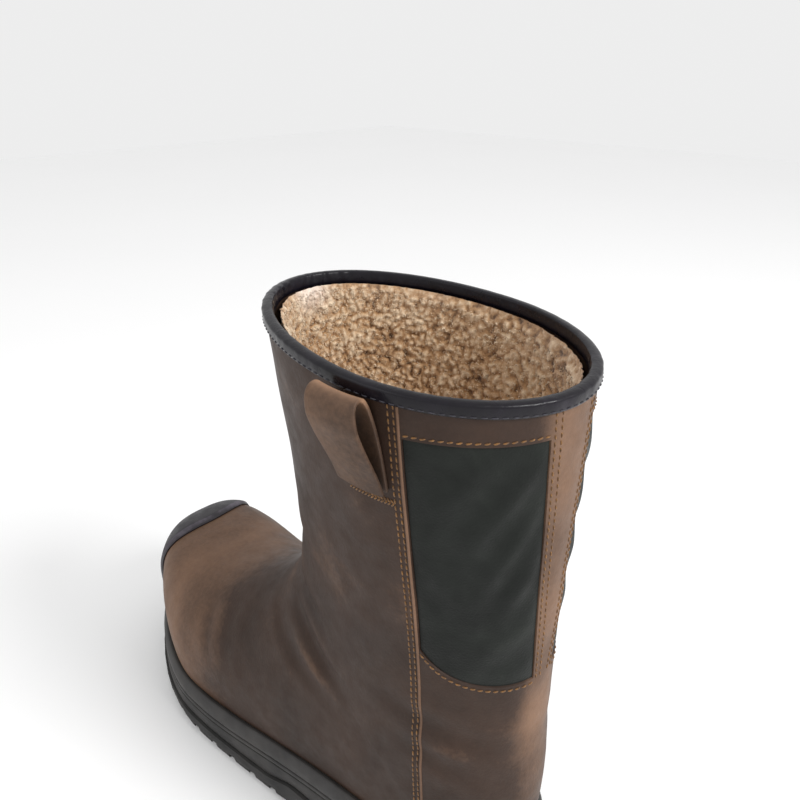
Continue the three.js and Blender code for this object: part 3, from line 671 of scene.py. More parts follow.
def crease_depth(points):
    """How far the leather sinks or rises at each point."""
    depth = np.zeros(points.shape[:-1])
    for side, line, deep, wide in CREASES:
        line = np.array(line, float)
        best = np.full(depth.shape, 1e9)
        place = np.zeros(depth.shape)
        flat = points[..., [0, 2]]
        for i, (a, b) in enumerate(zip(line[:-1], line[1:])):
            run = b - a
            t = np.clip(((flat - a) @ run) / (run @ run), 0, 1)
            gap = np.linalg.norm(flat - (a + t[..., None] * run), axis=-1)
            nearer = gap < best
            best = np.where(nearer, gap, best)
            place = np.where(nearer, (i + t) / (len(line) - 1), place)
        fade = np.sin(math.pi * np.clip(0.06 + 0.88 * place, 0, 1)) ** 0.8
        trough = -deep * np.exp(-((best / wide) ** 2))
        ridge = 0.45 * deep * np.exp(-(((best - 2 * wide) / wide) ** 2))
        on_side = 1.0
        if side != "both":
            sign = 1 if side == "outer" else -1
            on_side = blend(sign * points[..., 1], 2, 14)
        depth += (trough + ridge) * fade * on_side
    return depth


def unevenness(points):
    """The slow waves that every stretched skin has."""
    x, y, z = points[..., 0], points[..., 1], points[..., 2]
    first = np.sin(x / 13 + 1.3 * np.sin(z / 17)) * np.sin(z / 15 + y / 23)
    second = np.sin(x / 7.1 - z / 9.3 + 2) * np.sin(y / 8.7 + z / 21 + 1)
    return 0.22 * first + 0.1 * second


# %% Build the upper
surface = skin(upper_u, upper_v)
near_collar = blend(upper_u, COLLAR_ROW - 1.2, COLLAR_ROW - 0.3)
near_sole = np.where(upper_u < HEEL_ROW, blend(np.abs(upper_v), 0.86, 0.97), 0)
calm = (1 - near_collar) * (1 - near_sole) * (1 - window)
relief = (crease_depth(surface) + unevenness(surface)) * calm
# The back strip is painted lighter from the heel upwards: a painted highlight. The toe is painted lighter
# towards its tip, and raised creases lighter as oiled leather pales where it is pulled; where creases
# cross these lighter areas their troughs come out darker, a little painted shade.
back_strip_highlight = blend(np.abs(upper_v), 0.9, 0.97) * blend(surface[..., 2], 60, 140)
toe_light = blend(surface[..., 0], 150, 210)
wear_and_highlight_share = np.clip(0.7 * back_strip_highlight + 0.55 * toe_light + 0.3 * relief, 0, 1)
upper_points = off_last(upper_u, upper_v, relief - PANEL_RECESS * window)
upper = sheet_from("upper_leather", upper_points, wear=wear_and_highlight_share)


def close_toe(piece, columns):
    """Joins each point of the front row to its twin on the other side."""
    made = bmesh.new()
    made.from_mesh(piece.data)
    made.verts.ensure_lookup_table()
    spots = {}
    for vertex in made.verts:
        spots[tuple(round(c, 7) for c in vertex.co)] = vertex
    front = [spots[tuple(round(c, 7) for c in Vector(p))] for p in columns]
    for i in range(len(front) // 2 - 1):
        a, b = front[i], front[i + 1]
        c, d = front[-2 - i], front[-1 - i]
        if len({a, b, c, d}) == 4:
            made.faces.new((b, a, d, c))
    made.to_mesh(piece.data)
    made.free()


front_row = metres(upper_points[0]).astype(np.float32)
close_toe(upper, front_row)
weld(upper, 2e-6)
modify(upper, "SOLIDIFY", thickness=(WALL - 0.2) / 1000, offset=-1, use_even_offset=False)
smooth(upper, 50)
finish_piece(upper, brown_leather, "upper", "upper")

# %% [markdown]
# ## Side panels
# The soft panels are thin leather over foam, so they are a little crowned and fold softly where the
# shaft bends. They are cut larger than their windows, and here their edges dip under the frame. A
# few folds run diagonally from the upper back corner, as in the photo.

# %% Build the side panels
PANEL_FOLDS = [
    # rise and share of the start, rise and share of the end, height, width in shares
    (0.93, 0.95, 0.62, 0.42, 0.7, 0.055),
    (0.8, 0.98, 0.45, 0.5, 0.6, 0.05),
    (0.97, 0.6, 0.75, 0.2, 0.45, 0.05),
    (0.55, 0.98, 0.3, 0.6, 0.5, 0.05),
    (0.3, 0.95, 0.12, 0.35, 0.5, 0.06),
    (0.5, 0.05, 0.32, 0.45, 0.4, 0.06),
]


def panel_relief(rise, share):
    """Height of the panel's crown and folds over its rim."""
    crown = 1 - np.maximum(np.abs(2 * rise - 1) ** 10, np.abs(2 * share - 1) ** 8)
    height = 0.95 * np.clip(crown, 0, 1) ** 0.5
    for r0, s0, r1, s1, tall, wide in PANEL_FOLDS:
        run_r, run_s = r1 - r0, s1 - s0
        length = run_r ** 2 + run_s ** 2
        t = np.clip(((rise - r0) * run_r + (share - s0) * run_s) / length, 0, 1)
        gap = np.hypot(rise - r0 - t * run_r, share - s0 - t * run_s)
        ends = np.sin(math.pi * np.clip(0.1 + 0.8 * t, 0, 1))
        wave = np.exp(-((gap / wide) ** 2)) - 0.6 * np.exp(-(((gap - 2 * wide) / wide) ** 2))
        height = height + 1.7 * tall * wave * ends * np.clip(crown, 0, 1)
    return height


def side_panel(name, sign, node):
    rises = np.linspace(0.004, 0.996, 90)[:, None]
    shares = np.linspace(0.007, 0.993, 56)[None, :]
    u, v = panel_place(rises, shares)
    height = panel_relief(*np.broadcast_arrays(rises, shares)) - PANEL_RECESS + 0.35
    if sign < 0:
        u, v, height = u[:, ::-1], -v[:, ::-1], height[:, ::-1]
    panel = sheet_from(name, off_last(u, v, height))
    modify(panel, "SOLIDIFY", thickness=0.0009, offset=-1)
    smooth(panel, 60)
    finish_piece(panel, panel_leather, "panel", node)


side_panel("soft_panel_outer", 1, "side_panel_left")
side_panel("soft_panel_inner", -1, "side_panel_right")

# %% [markdown]
# ## Collar binding
# A strip is folded over the top edge and sewn through. Pulled round the tight bends, it puckers.
# Its section is a flat-sided roll, swept once round the collar as a grid whose ends are welded.

# %% Distances down from the collar
RIM_STEPS = np.linspace(0, 6, 121)


def down_table(v):
    """For each place round the collar, the surface length below it for a fan of rows."""
    line = skin(COLLAR_ROW - RIM_STEPS[:, None], v[None, :])
    strides = np.linalg.norm(np.diff(line, axis=0), axis=-1)
    return np.vstack([np.zeros(len(v)), np.cumsum(strides, 0)])


def row_below(v, drop):
    """The row that lies a distance below the collar edge, for arrays of the same shape."""
    v, drop = np.broadcast_arrays(np.asarray(v, float), np.asarray(drop, float))
    table = down_table(v.ravel())
    found = [np.interp(d, table[:, i], RIM_STEPS) for i, d in enumerate(drop.ravel())]
    return COLLAR_ROW - np.array(found).reshape(v.shape)


collar_out = outward(np.array([26.0]), np.array([0.0]))[0]
collar_climb = np.array([-collar_out[2], 0, collar_out[0]]) / np.hypot(collar_out[0], collar_out[2])


def by_collar(v, out, up):
    """A point beside the collar: out from the leather, and up from its edge along the wall."""
    v, out, up = np.broadcast_arrays(v, out, up)
    u = row_below(v, np.maximum(-up, 0))
    return off_last(u, v, out) + np.maximum(up, 0)[..., None] * collar_climb


# %% Build the binding
BINDING = 1.1
BINDING_DEPTH = 4.4
AROUND = 460


def binding_section():
    """The roll as (out, up) points, from its outer lower edge over the top to the inner one."""
    reach = WALL / 2 + BINDING
    turns = np.linspace(0, math.pi, 15)
    roll = [(reach * math.cos(t) - WALL / 2, 1.5 * math.sin(t) ** 0.7) for t in turns]
    low = -BINDING_DEPTH
    outer = [(0.1, low + 0.2), (0.6, low), (1.0, low + 0.3), (1.2, low + 1.1), (1.2, low + 2.6)]
    inner = [(-WALL - 1.3, -1.6), (-WALL - 1.3, -3.4), (-WALL - 1.1, low - 0.6),
             (-WALL - 0.3, low - 0.9)]
    return np.array(outer + roll + inner)


section = binding_section()
around = np.linspace(-1, 1, AROUND + 1)
turn = around * math.pi
front_bend = blend(np.abs(around), 0.42, 0.0)
gather = 0.08 + 0.2 * front_bend + 0.06 * blend(np.abs(around), 0.85, 1)
ripple = np.sin(turn * 47 + 1.6 * np.sin(turn * 5)) * 0.7
ripple += np.sin(turn * 71 + 2.1 * np.cos(turn * 7)) * 0.5
on_roll = np.exp(-(((section[:, 1] - 0.4) / 3.6) ** 2))
swell = gather[None, :] * ripple[None, :] * on_roll[:, None]
outs = section[:, :1] + swell * np.sign(section[:, :1] + WALL / 2)
binding_points = by_collar(around[None, :], outs, np.repeat(section[:, 1:], AROUND + 1, 1))
binding = sheet_from("collar_binding_roll", binding_points)
weld(binding, 2e-5)
smooth(binding, 70)
finish_piece(binding, binding_cloth, "binding", "collar_binding")

# %% [markdown]
# ## Fleece lining
# The pile is a dense surface with real lumps and gaps, because flat cloth with a bump map would
# look flat at the rim. Thousands of small curls stand on it near the top, where the eye looks in.
# A particle system would be heavier and isn't kept by an export, so one curl is shaped once and
# copied with arrays.


# %% Lumpy heights
def scatter(cell, salt):
    """Repeatable values between 0 and 1 for whole-numbered cells."""
    a = cell.astype(np.int64)
    mixed_up = a[..., 0] * 73856093 ^ a[..., 1] * 19349663 ^ a[..., 2] * 83492791 ^ salt * 2654435761
    mixed_up = (mixed_up ^ (mixed_up >> 13)) * 1274126177
    return ((mixed_up ^ (mixed_up >> 16)) & 0xFFFFFF) / float(0xFFFFFF)


def lumps(points, size, salt):
    """Distance to the nearest of many scattered tuft centres, in shares of their spacing."""
    place = points / size
    base = np.floor(place)
    best = np.full(points.shape[:-1], 9.0)
    for step in np.ndindex(3, 3, 3):
        cell = base + np.array(step) - 1
        centre = cell + np.stack([scatter(cell, salt + k) for k in range(3)], -1)
        best = np.minimum(best, np.linalg.norm(place - centre, axis=-1))
    return best


def clouds(points, size, salt):
    """Smooth noise between 0 and 1."""
    place = points / size
    base = np.floor(place)
    part = place - base
    part = part * part * (3 - 2 * part)
    total = np.zeros(points.shape[:-1])
    for step in np.ndindex(2, 2, 2):
        weight = np.prod(np.where(np.array(step) == 1, part, 1 - part), -1)
        total += weight * scatter(base + np.array(step), salt)
    return total


def pile_height(points):
    """Height of the pile as a share of its length."""
    bend = np.stack([clouds(points + 31 * k, 4.5, 11 + k) for k in range(3)], -1) - 0.5
    moved = points + 3.2 * bend
    tufts = 1 - np.clip(lumps(moved, 3.2, 3), 0, 1)
    curls = 1 - np.clip(lumps(moved, 1.7, 7), 0, 1)
    return np.clip(0.62 * tufts + 0.38 * curls + 0.35 * (clouds(points, 11, 5) - 0.5), 0, 1)


PILE = 5.0
BACKING = WALL + 0.5


def fleece_sheet(name, u, v, slot, *nodes):
    base = off_last(u, v, np.full(u.shape, -BACKING))
    height = pile_height(base)
    rim = blend(u, COLLAR_ROW - 0.5, COLLAR_ROW - 0.2)
    deep = BACKING + 1.2 + PILE * (0.25 + 0.75 * height) * (1 - 0.35 * rim)
    points = off_last(u, v, -deep)
    ends = np.maximum(blend(np.abs(v), 0.9, 0.98), blend(np.abs(v), 0.12, 0.02))
    near_rim = blend(u, COLLAR_ROW - 1.5, COLLAR_ROW - 0.3)
    cream = np.clip(0.75 * ends * near_rim + 0.12 * near_rim * clouds(base, 14, 9), 0, 1)
    piece = sheet_from(name, points[:, ::-1], pile=height[:, ::-1], cream=cream[:, ::-1])
    weld(piece, 2e-5)
    smooth(piece, 180)
    finish_piece(piece, fleece, slot, *nodes)


# %% Build the lining
SPLIT_ROW = 20.0
fine_rows = 128
fine_columns = 480
lining_v = np.linspace(-1, 1, fine_columns + 1)
lining_top = row_below(lining_v, np.full(lining_v.shape, 4.6))
shares = np.linspace(0, 1, fine_rows)[:, None]
lining_u = SPLIT_ROW + shares * (lining_top[None, :] - SPLIT_ROW)
fleece_sheet("fleece_shaft", lining_u, np.repeat(lining_v[None, :], fine_rows, 0), "insole")
deep_u = np.linspace(0.8, SPLIT_ROW + 0.1, 130)[:, None]
deep_v = np.linspace(-1, 1, 161)[None, :]
deep_u, deep_v = (np.array(a) for a in np.broadcast_arrays(deep_u, deep_v))
fleece_sheet("fleece_foot", deep_u, deep_v, "insole")

# %% [markdown]
# ## Footbed
# The footbed inside is covered with the same fleece. It is a grid between the two edges of the
# seat, and it stands for the insole.


# %% Build the footbed
def footbed():
    u = np.linspace(0.9, HEEL_ROW - 0.25, 150)
    across = np.linspace(-1, 1, 61)
    inner, outer = skin(u, np.full(u.shape, -1.0)), skin(u, np.full(u.shape, 1.0))
    middle = (inner + outer) / 2
    half = (outer - inner) / 2
    half_width = np.maximum(half[:, 1] - WALL - 1.0, 0.5)
    points = middle[:, None, :] + np.zeros((1, 61, 1))
    points[..., 1] += half_width[:, None] * across[None, :]
    height = pile_height(points)
    points[..., 2] = seat_at(points[..., 0]) + 5.2 + 2.4 * height
    piece = sheet_from("fleece_footbed", points, pile=height, cream=0.1 * height)
    modify(piece, "SOLIDIFY", thickness=0.004, offset=-1)
    smooth(piece, 60)
    finish_piece(piece, fleece, "insole", "insole")


footbed()

# %% [markdown]
# ## Curls
# One curl is a thin bent tube of three sides. It is copied over the pile with a seeded random
# turn, tilt and size, and all of one side's curls are one mesh.


# %% Copy a small shape to many places
def copies(name, shape, faces, places, axes, sizes, **values):
    """One mesh from copies of a small shape. axes holds three unit directions for each copy."""
    count = len(places)
    scaled = shape[None, :, :] * sizes[:, None, None]
    points = np.einsum("nvk,nkj->nvj", scaled, axes) + places[:, None, :]
    every = (np.array(faces)[None, :, :] + (np.arange(count) * len(shape))[:, None, None])
    mesh = bpy.data.meshes.new(name)
    corners_each = every.shape[-1]
    mesh.vertices.add(count * len(shape))
    mesh.vertices.foreach_set("co", metres(points).ravel())
    mesh.loops.add(every.size)
    mesh.loops.foreach_set("vertex_index", every.ravel().astype(np.int32))
    mesh.polygons.add(every.size // corners_each)
    mesh.polygons.foreach_set("loop_start", np.arange(0, every.size, corners_each, dtype=np.int32))
    mesh.update(calc_edges=True)
    for key, value in values.items():
        kept = mesh.attributes.new(key, "FLOAT", "POINT")
        kept.data.foreach_set("value", np.ascontiguousarray(value.ravel(), np.float32))
    piece = bpy.data.objects.new(name, mesh)
    bpy.context.scene.collection.objects.link(piece)
    for polygon in mesh.polygons:
        polygon.use_smooth = True
    return piece


def tube(path, radii, sides):
    """Points and faces of a thin closed tube along a path."""
    path = np.asarray(path, float)
    run = np.gradient(path, axis=0)
    run /= np.linalg.norm(run, axis=1, keepdims=True)
    side = np.cross(run, (0.13, 0.27, 0.95))
    side /= np.linalg.norm(side, axis=1, keepdims=True)
    up = np.cross(run, side)
    angles = np.arange(sides) / sides * 2 * math.pi
    rings = [p + r * (np.cos(angles)[:, None] * s + np.sin(angles)[:, None] * w)
             for p, r, s, w in zip(path, radii, side, up)]
    points = np.vstack(rings + [path[:1], path[-1:]])
    first, last = len(points) - 2, len(points) - 1
    faces = []
    for i in range(len(path) - 1):
        for j in range(sides):
            a, b = i * sides + j, i * sides + (j + 1) % sides
            faces += [(a, b, b + sides), (a, b + sides, a + sides)]
    end = (len(path) - 1) * sides
    for j in range(sides):
        k = (j + 1) % sides
        faces += [(first, k, j), (last, end + j, end + k)]
    return points, faces


# %% Build the curls
CURLS = 7600
curl_turn = np.linspace(0, 1.5 * math.pi, 4)
curl_radius = np.array([0.95, 0.85, 0.75, 0.6])
curl_path = np.stack([curl_radius * np.cos(curl_turn), curl_radius * np.sin(curl_turn),
                      np.linspace(-0.5, 0.8, 4)], -1)
curl_points, curl_faces = tube(curl_path, [0.3, 0.38, 0.34, 0.18], 3)
chance = np.random.default_rng(29)


def curls_on(name, sign):
    u = COLLAR_ROW - 0.45 - (COLLAR_ROW - 0.45 - SPLIT_ROW) * chance.random(CURLS) ** 1.3
    v = sign * chance.random(CURLS)
    base = off_last(u, v, np.full(CURLS, -BACKING))
    height = pile_height(base)
    rim = blend(u, COLLAR_ROW - 0.5, COLLAR_ROW - 0.2)
    deep = BACKING + 0.9 + PILE * (0.25 + 0.75 * height) * (1 - 0.35 * rim)
    places = off_last(u, v, -deep)
    inwards = -outward(u, v) + 0.7 * (chance.random((CURLS, 3)) - 0.5)
    inwards /= np.linalg.norm(inwards, axis=1, keepdims=True)
    first = np.cross(inwards, chance.random((CURLS, 3)) - 0.5)
    first /= np.linalg.norm(first, axis=1, keepdims=True)
    axes = np.stack([first, np.cross(inwards, first), inwards], 1)
    sizes = 0.5 + 0.45 * chance.random(CURLS)
    ends = np.maximum(blend(np.abs(v), 0.9, 0.98), blend(np.abs(v), 0.12, 0.02))
    near_rim = blend(u, COLLAR_ROW - 1.5, COLLAR_ROW - 0.3)
    cream = np.clip(0.75 * ends * near_rim + 0.12 * near_rim * clouds(base, 14, 9), 0, 1)
    # Painted highlight towards each curl's tip, and painted shade where the pile under it is low.
    lift = 0.15 + 0.75 * (curl_points[:, 2] + 0.5) / 1.3
    shaded = 0.3 * (chance.random(CURLS)[:, None] - 0.4)
    pile = np.clip(lift[None, :] * 0.6 + 0.5 * height[:, None] + shaded, 0, 1)
    piece = copies(name, curl_points, curl_faces, places, axes, sizes,
                   pile=pile, cream=np.repeat(cream[:, None], len(curl_points), 1))
    finish_piece(piece, fleece, "insole")


curls_on("fleece_curls_outer", 1)
curls_on("fleece_curls_inner", -1)

# %% [markdown]
# ## Pull loops
# Each loop is one strap of oiled leather, folded over at the top and sewn down at the bottom, so it
# keeps a soft belly. The strap is swept as a grid along the fold and gets its thickness after that.

# %% Build the pull loops
LOOP_WIDTH = 21.0
LOOP_LENGTH = 41.0
LOOP_DROP = 0.8
LOOP_LEAN = 0.13
LOOP_BULGE = 13.0
LOOP_PLACE = 0.63
LOOP_STRAP = 1.6
LOOP_PATH = np.array([
    # down, out
    (1, 0), (0.8, 0), (0.57, 0.02), (0.35, 0.07), (0.2, 0.14), (0.1, 0.22), (0.04, 0.31),
    (0.01, 0.42), (0, 0.55), (0.01, 0.7), (0.04, 0.83), (0.09, 0.93), (0.17, 0.99), (0.28, 1),
    (0.46, 0.86), (0.64, 0.67), (0.82, 0.48), (1, 0.34),
])


def loop_columns(sign, back, drop):
    """Places round the collar, some millimetres behind the loop's middle, at a drop below the edge."""
    gauge = skin(np.array([26.0, 26.0]), np.array([LOOP_PLACE, LOOP_PLACE + 0.004]))
    each = 0.004 / np.linalg.norm(gauge[1] - gauge[0])
    return sign * (LOOP_PLACE + (back + LOOP_LEAN * drop) * each)


def pull_loop(name, sign, node, sunk=0.0):
    place = np.linspace(0, len(LOOP_PATH) - 1, 90)
    down, out = through(LOOP_PATH[:, 0], place), through(LOOP_PATH[:, 1], place)
    across = np.linspace(-1, 1, 15)
    v = loop_columns(sign, across[None, :] * LOOP_WIDTH / 2, (LOOP_DROP + down * LOOP_LENGTH)[:, None])
    cup = 0.5 * (1 - across[None, :] ** 2) * np.sin(math.pi * np.clip(out, 0, 1))[:, None]
    outs = GAP + 0.1 + out[:, None] * LOOP_BULGE + cup
    ups = np.repeat((-LOOP_DROP - sunk - down * LOOP_LENGTH)[:, None], 15, 1)
    points = by_collar(v, outs, ups)
    if sign > 0:
        points = points[:, ::-1]
    # The strap is painted lighter near the top of its fold.
    wear_and_highlight_share = 0.15 + 0.85 * np.repeat(np.exp(-((place - 6.5) / 1.8) ** 2)[:, None], 15, 1)
    strap = sheet_from(name, points, wear=wear_and_highlight_share)
    modify(strap, "SOLIDIFY", thickness=LOOP_STRAP / 1000, offset=-1)
    modify(strap, "BEVEL", width=0.0004, segments=2, limit_method="ANGLE", angle_limit=1.0)
    smooth(strap, 50)
    finish_piece(strap, strap_leather, "loop", node)


pull_loop("pull_loop_strap_outer", 1, "pull_loop_left")
pull_loop("pull_loop_strap_inner", -1, "pull_loop_right", 2.5)

# %% [markdown]
# ## Toe cap
# A moulded cap guards the leather over the steel toe. Its back edge is a bow with a bevelled band
# along it. The grid's rows run from the toe back to that bow, and its columns from one end of the
# cap, over the top, to the other.

# %% Build the toe cap
CAP_THICKNESS = 2.2
CAP_LENGTH = 31.0
CAP_BOW = 22.0
CAP_MIDDLE = -4.0
SOLE_LIP = 5.0


def cap_edge(y):
    return LENGTH - CAP_LENGTH + CAP_BOW * ((y - CAP_MIDDLE) / (BALL_WIDTH / 2)) ** 2


def cap_place(back, side):
    """Places on the cap: back is 0 at the toe and 1 at the bow, side is -1 to 1 over the top."""
    rows = np.linspace(0, 9, 240)[:, None]
    sides = np.linspace(0, 1, 241)[None, :]
    found = {}
    for sign in (-1, 1):
        sheet = skin(rows, sign * sides)
        clear = sheet[..., 2] - seat_at(sheet[..., 0]) - SOLE_LIP - 0.6
        found[sign] = np.array([np.interp(0, -row, sides[0]) for row in clear])
    u = back * 4
    v = side * 0.8
    for _ in range(40):
        ends = {sign: np.interp(u, rows[:, 0], found[sign]) for sign in (-1, 1)}
        limit = np.where(side < 0, ends[-1], ends[1])
        v = side * limit
        here = skin(u, v)
        edge_u = np.clip(u, 0.05, 9)
        ahead = skin(edge_u / np.maximum(back, 0.02), v)
        stray = ahead[..., 0] - cap_edge(ahead[..., 1])
        u = np.clip(u + 0.12 * back * np.clip(stray, -6, 6) * 0.25, 0, 9)
    return u, v, here


def toe_cap():
    backs = np.concatenate([np.linspace(0, 0.93, 44), [0.955, 0.98, 1.0]])[:, None]
    sides = np.linspace(-1, 1, 121)[None, :]
    backs, sides = (np.array(a) for a in np.broadcast_arrays(backs, sides))
    u, v, _ = cap_place(backs, sides)
    outline = skin(u[-1], v[-1])
    print("cap edge, worst miss in mm:", np.abs(outline[:, 0] - cap_edge(outline[:, 1])).max().round(2))
    bevel = blend(backs, 1.0, 0.95)
    points = off_last(u, v, GAP + CAP_THICKNESS * (0.25 + 0.75 * bevel))
    # Painted highlight: edge marks the bevelled band along the back edge, painted pale.
    edge = np.exp(-(((backs - 0.965) / 0.025) ** 2))
    piece = sheet_from("toe_scuff_cap", points, edge=edge)
    close_toe(piece, metres(points[0]).astype(np.float32))
    modify(piece, "SOLIDIFY", thickness=0.0016, offset=-1)
    smooth(piece, 40)
    finish_piece(piece, cap_rubber, "toe_cap", "toe_cap")


toe_cap()

# %% [markdown]
# ## Midsole
# The midsole is foam cast round the upper. Its outline is the upper's edge, moved outwards, and
# its side is drawn as a stack of such outlines at different heights: the grooves, the flat band
# and the lip. Each outline is one row of a grid that closes on itself.


# %% Build the midsole
def sole_outline(distance, count=150):
    """A closed outline in plan, a distance outside the upper's edge: one side, then the other."""
    lines = []
    for sign in (-1, 1):
        u = np.linspace(0, HEEL_ROW, 600)
        side = skin(u, np.full(u.shape, float(sign)))[:, :2]
        toe = np.array([[side[0, 0] + 0.4, LAST["lean"][0]]])
        side = np.vstack([toe, side])
        length = np.concatenate([[0], np.cumsum(np.linalg.norm(np.diff(side, axis=0), axis=1))])
        places = np.linspace(0, length[-1], count)
        lines.append(np.stack([np.interp(places, length, side[:, k]) for k in (0, 1)], -1))
    ring = np.vstack([lines[0], lines[1][-2:0:-1]])
    for _ in range(6):
        ring = ring * 0.5 + 0.25 * (np.roll(ring, 1, 0) + np.roll(ring, -1, 0))
    run = np.roll(ring, -1, 0) - np.roll(ring, 1, 0)
    away = np.stack([run[:, 1], -run[:, 0]], -1) / np.linalg.norm(run, axis=1, keepdims=True)
    middle = ring.mean(0)
    if ((ring - middle) * away).sum() < 0:
        away = -away
    return ring + away * distance


ARCH_END = 0.47 * LENGTH
HEEL_LENGTH = 84.0
SOLE_LEDGE = 5.0


def split_at(x):
    """The surface between outsole and midsole."""
    middle = (HEEL_LENGTH + ARCH_END) / 2
    lift = blend(x, HEEL_LENGTH / 2, middle) * (1 - blend(x, middle, ARCH_END))
    return 11 + 6 * lift + spring_at(x)


def ring_stack(name, levels):
    """A closed solid from outlines at (ledge, height) levels, the first and last of them capped."""
    rings = []
    for ledge, height in levels:
        ring = sole_outline(ledge)
        rings.append(np.column_stack([ring, height(ring[:, 0])]))
    closed = [np.vstack([ring, ring[:1]]) for ring in rings]
    piece = sheet_from(name, np.array(closed))
    weld(piece, 1e-6)
    made = bmesh.new()
    made.from_mesh(piece.data)
    made.verts.ensure_lookup_table()
    spots = {tuple(round(c, 6) for c in vertex.co): vertex for vertex in made.verts}
    for ring, turned in ((rings[0], False), (rings[-1], True)):
        loop = [spots[tuple(round(c, 6) for c in Vector(p))] for p in metres(ring).astype(np.float32)]
        count = len(loop)
        for i in range(1, count // 2):
            four = (loop[i - 1], loop[i], loop[count - i], loop[(count - i + 1) % count])
            if len(set(four)) == 4:
                made.faces.new(four if turned else four[::-1])
            elif len(set(four)) == 3:
                three = list(dict.fromkeys(four))
                made.faces.new(three if turned else three[::-1])
    bmesh.ops.recalc_face_normals(made, faces=made.faces[:])
    made.to_mesh(piece.data)
    made.free()
    return piece



def midsole():
    levels = [(3.6, lambda x: split_at(x) + GAP), (4.6, lambda x: split_at(x) + GAP + 0.25),
              (5.0, lambda x: split_at(x) + GAP + 1.0)]
    for k in range(2):
        top = -2.5 - 3.2 * (1 - k) - 1.6
        groove = [(5.0, -0.8), (4.75, -0.5), (3.9, -0.35), (3.8, 0), (3.9, 0.35), (4.75, 0.5), (5.0, 0.8)]
        for ledge, rise in groove:
            levels.append((ledge, lambda x, top=top, rise=rise: seat_at(x) + top + rise))
    lip = [(5.0, -0.8), (4.95, 0.6), (4.3, 2.6), (3.5, 4.3), (3.0, 4.85), (2.3, 5.05), (1.2, 4.9),
           (-0.6, 4.2), (-3, -1)]
    for ledge, rise in lip:
        levels.append((ledge, lambda x, rise=rise: seat_at(x) + rise))
    piece = ring_stack("midsole_foam", levels)
    smooth(piece, 50)
    finish_piece(piece, midsole_foam, "midsole", "midsole")


midsole()

# %% [markdown]
# ## Outsole
# The tread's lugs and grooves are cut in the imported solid, so a copy of it is the right start. Its
# loose triangles are merged, flat ones dissolved, and a small bevel takes the sharpness that no
# moulded rubber has.


# %% Build the outsole
def outsole():
    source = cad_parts["outsole"]
    piece = bpy.data.objects.new("outsole_tread", source.data.copy())
    bpy.context.scene.collection.objects.link(piece)
    weld(piece, 1e-6)
    bpy.ops.object.mode_set(mode="EDIT")
    bpy.ops.mesh.select_all(action="SELECT")
    bpy.ops.mesh.dissolve_limited(angle_limit=math.radians(1.5))
    bpy.ops.object.mode_set(mode="OBJECT")
    modify(piece, "BEVEL", width=0.0005, segments=2, limit_method="ANGLE", angle_limit=0.6)
    smooth(piece, 35)
    finish_piece(piece, outsole_rubber, "outsole", "outsole")


outsole()

# %% [markdown]
# ## Seams and stitches
# A lockstitch shows as a row of short raised threads that dip into the leather at both ends. One
# stitch is a squashed sphere, bent at its ends, and each row copies it along a line on the last.
# The side seam also has a thin raised edge of leather, between its rows and the soft panel.

# %% One stitch
bpy.ops.object.select_all(action="DESELECT")
bpy.ops.mesh.primitive_uv_sphere_add(segments=8, ring_count=7, radius=1)
ball = bpy.context.object
weld(ball, 1e-6)
bpy.ops.object.mode_set(mode="EDIT")
bpy.ops.mesh.select_all(action="SELECT")
bpy.ops.mesh.quads_convert_to_tris()
bpy.ops.object.mode_set(mode="OBJECT")
stitch_shape = np.array([vertex.co[:] for vertex in ball.data.vertices])
stitch_faces = [tuple(face.vertices) for face in ball.data.polygons]
bpy.data.objects.remove(ball)
stitch_shape = stitch_shape[:, [2, 0, 1]]
stitch_shape[:, 0] = np.sign(stitch_shape[:, 0]) * np.abs(stitch_shape[:, 0]) ** 0.8
stitch_shape[:, 2] -= 0.9 * stitch_shape[:, 0] ** 4


# %% Rows of stitches
class Rows:
    """Collects stitches, and then makes them one mesh."""

    def __init__(self):
        self.places, self.axes = [], []

    def add(self, line, normals, pitch, long, thick, slant=0.0, lift=0.1):
        """Stitches along a line on the surface. slant turns each one, in degrees."""
        steps = np.concatenate([[0], np.cumsum(np.linalg.norm(np.diff(line, axis=0), axis=1))])
        count = max(int(steps[-1] / pitch), 1)
        at = (np.arange(count) + 0.5) * steps[-1] / count
        point = np.stack([np.interp(at, steps, line[:, k]) for k in range(3)], -1)
        ahead = np.stack([np.interp(at + 0.3, steps, line[:, k]) for k in range(3)], -1)
        behind = np.stack([np.interp(at - 0.3, steps, line[:, k]) for k in range(3)], -1)
        up = np.stack([np.interp(at, steps, normals[:, k]) for k in range(3)], -1)
        up /= np.linalg.norm(up, axis=1, keepdims=True)
        run = ahead - behind
        run -= up * (run * up).sum(1, keepdims=True)
        run /= np.linalg.norm(run, axis=1, keepdims=True)
        side = np.cross(up, run)
        lean = math.radians(slant)
        along = run * math.cos(lean) + side * math.sin(lean)
        side = np.cross(up, along)
        self.places.append(point + up * lift)
        self.axes.append(np.stack([along * long / 2, side * thick / 2, up * thick / 2], 1))

    def build(self, name, material, slot):
        places, axes = np.vstack(self.places), np.vstack(self.axes)
        piece = copies(name, stitch_shape, stitch_faces, places, axes, np.ones(len(places)))
        finish_piece(piece, material, slot)


def upright_line(x, low, high, sign, count=160):
    """A line down the side of the boot at a steady x, on one side, and its outward directions."""
    z = np.linspace(high, low, count)
    wanted = np.stack([np.broadcast_to(x, z.shape), z], -1)
    u = np.clip(21.5 + (z - 200) / 35, HEEL_ROW, COLLAR_ROW - 0.001)
    u, v = solve(wanted, lambda p: p[..., [0, 2]], u, np.full(count, 0.72))
    return u, sign * v


def on_leather(u, v, lift=0.0):
    base = skin(u, v)
    depth = crease_depth(base) + unevenness(base)
    depth = depth * (1 - blend(u, COLLAR_ROW - 1.2, COLLAR_ROW - 0.3))
    return off_last(u, v, depth + lift), outward(u, v)


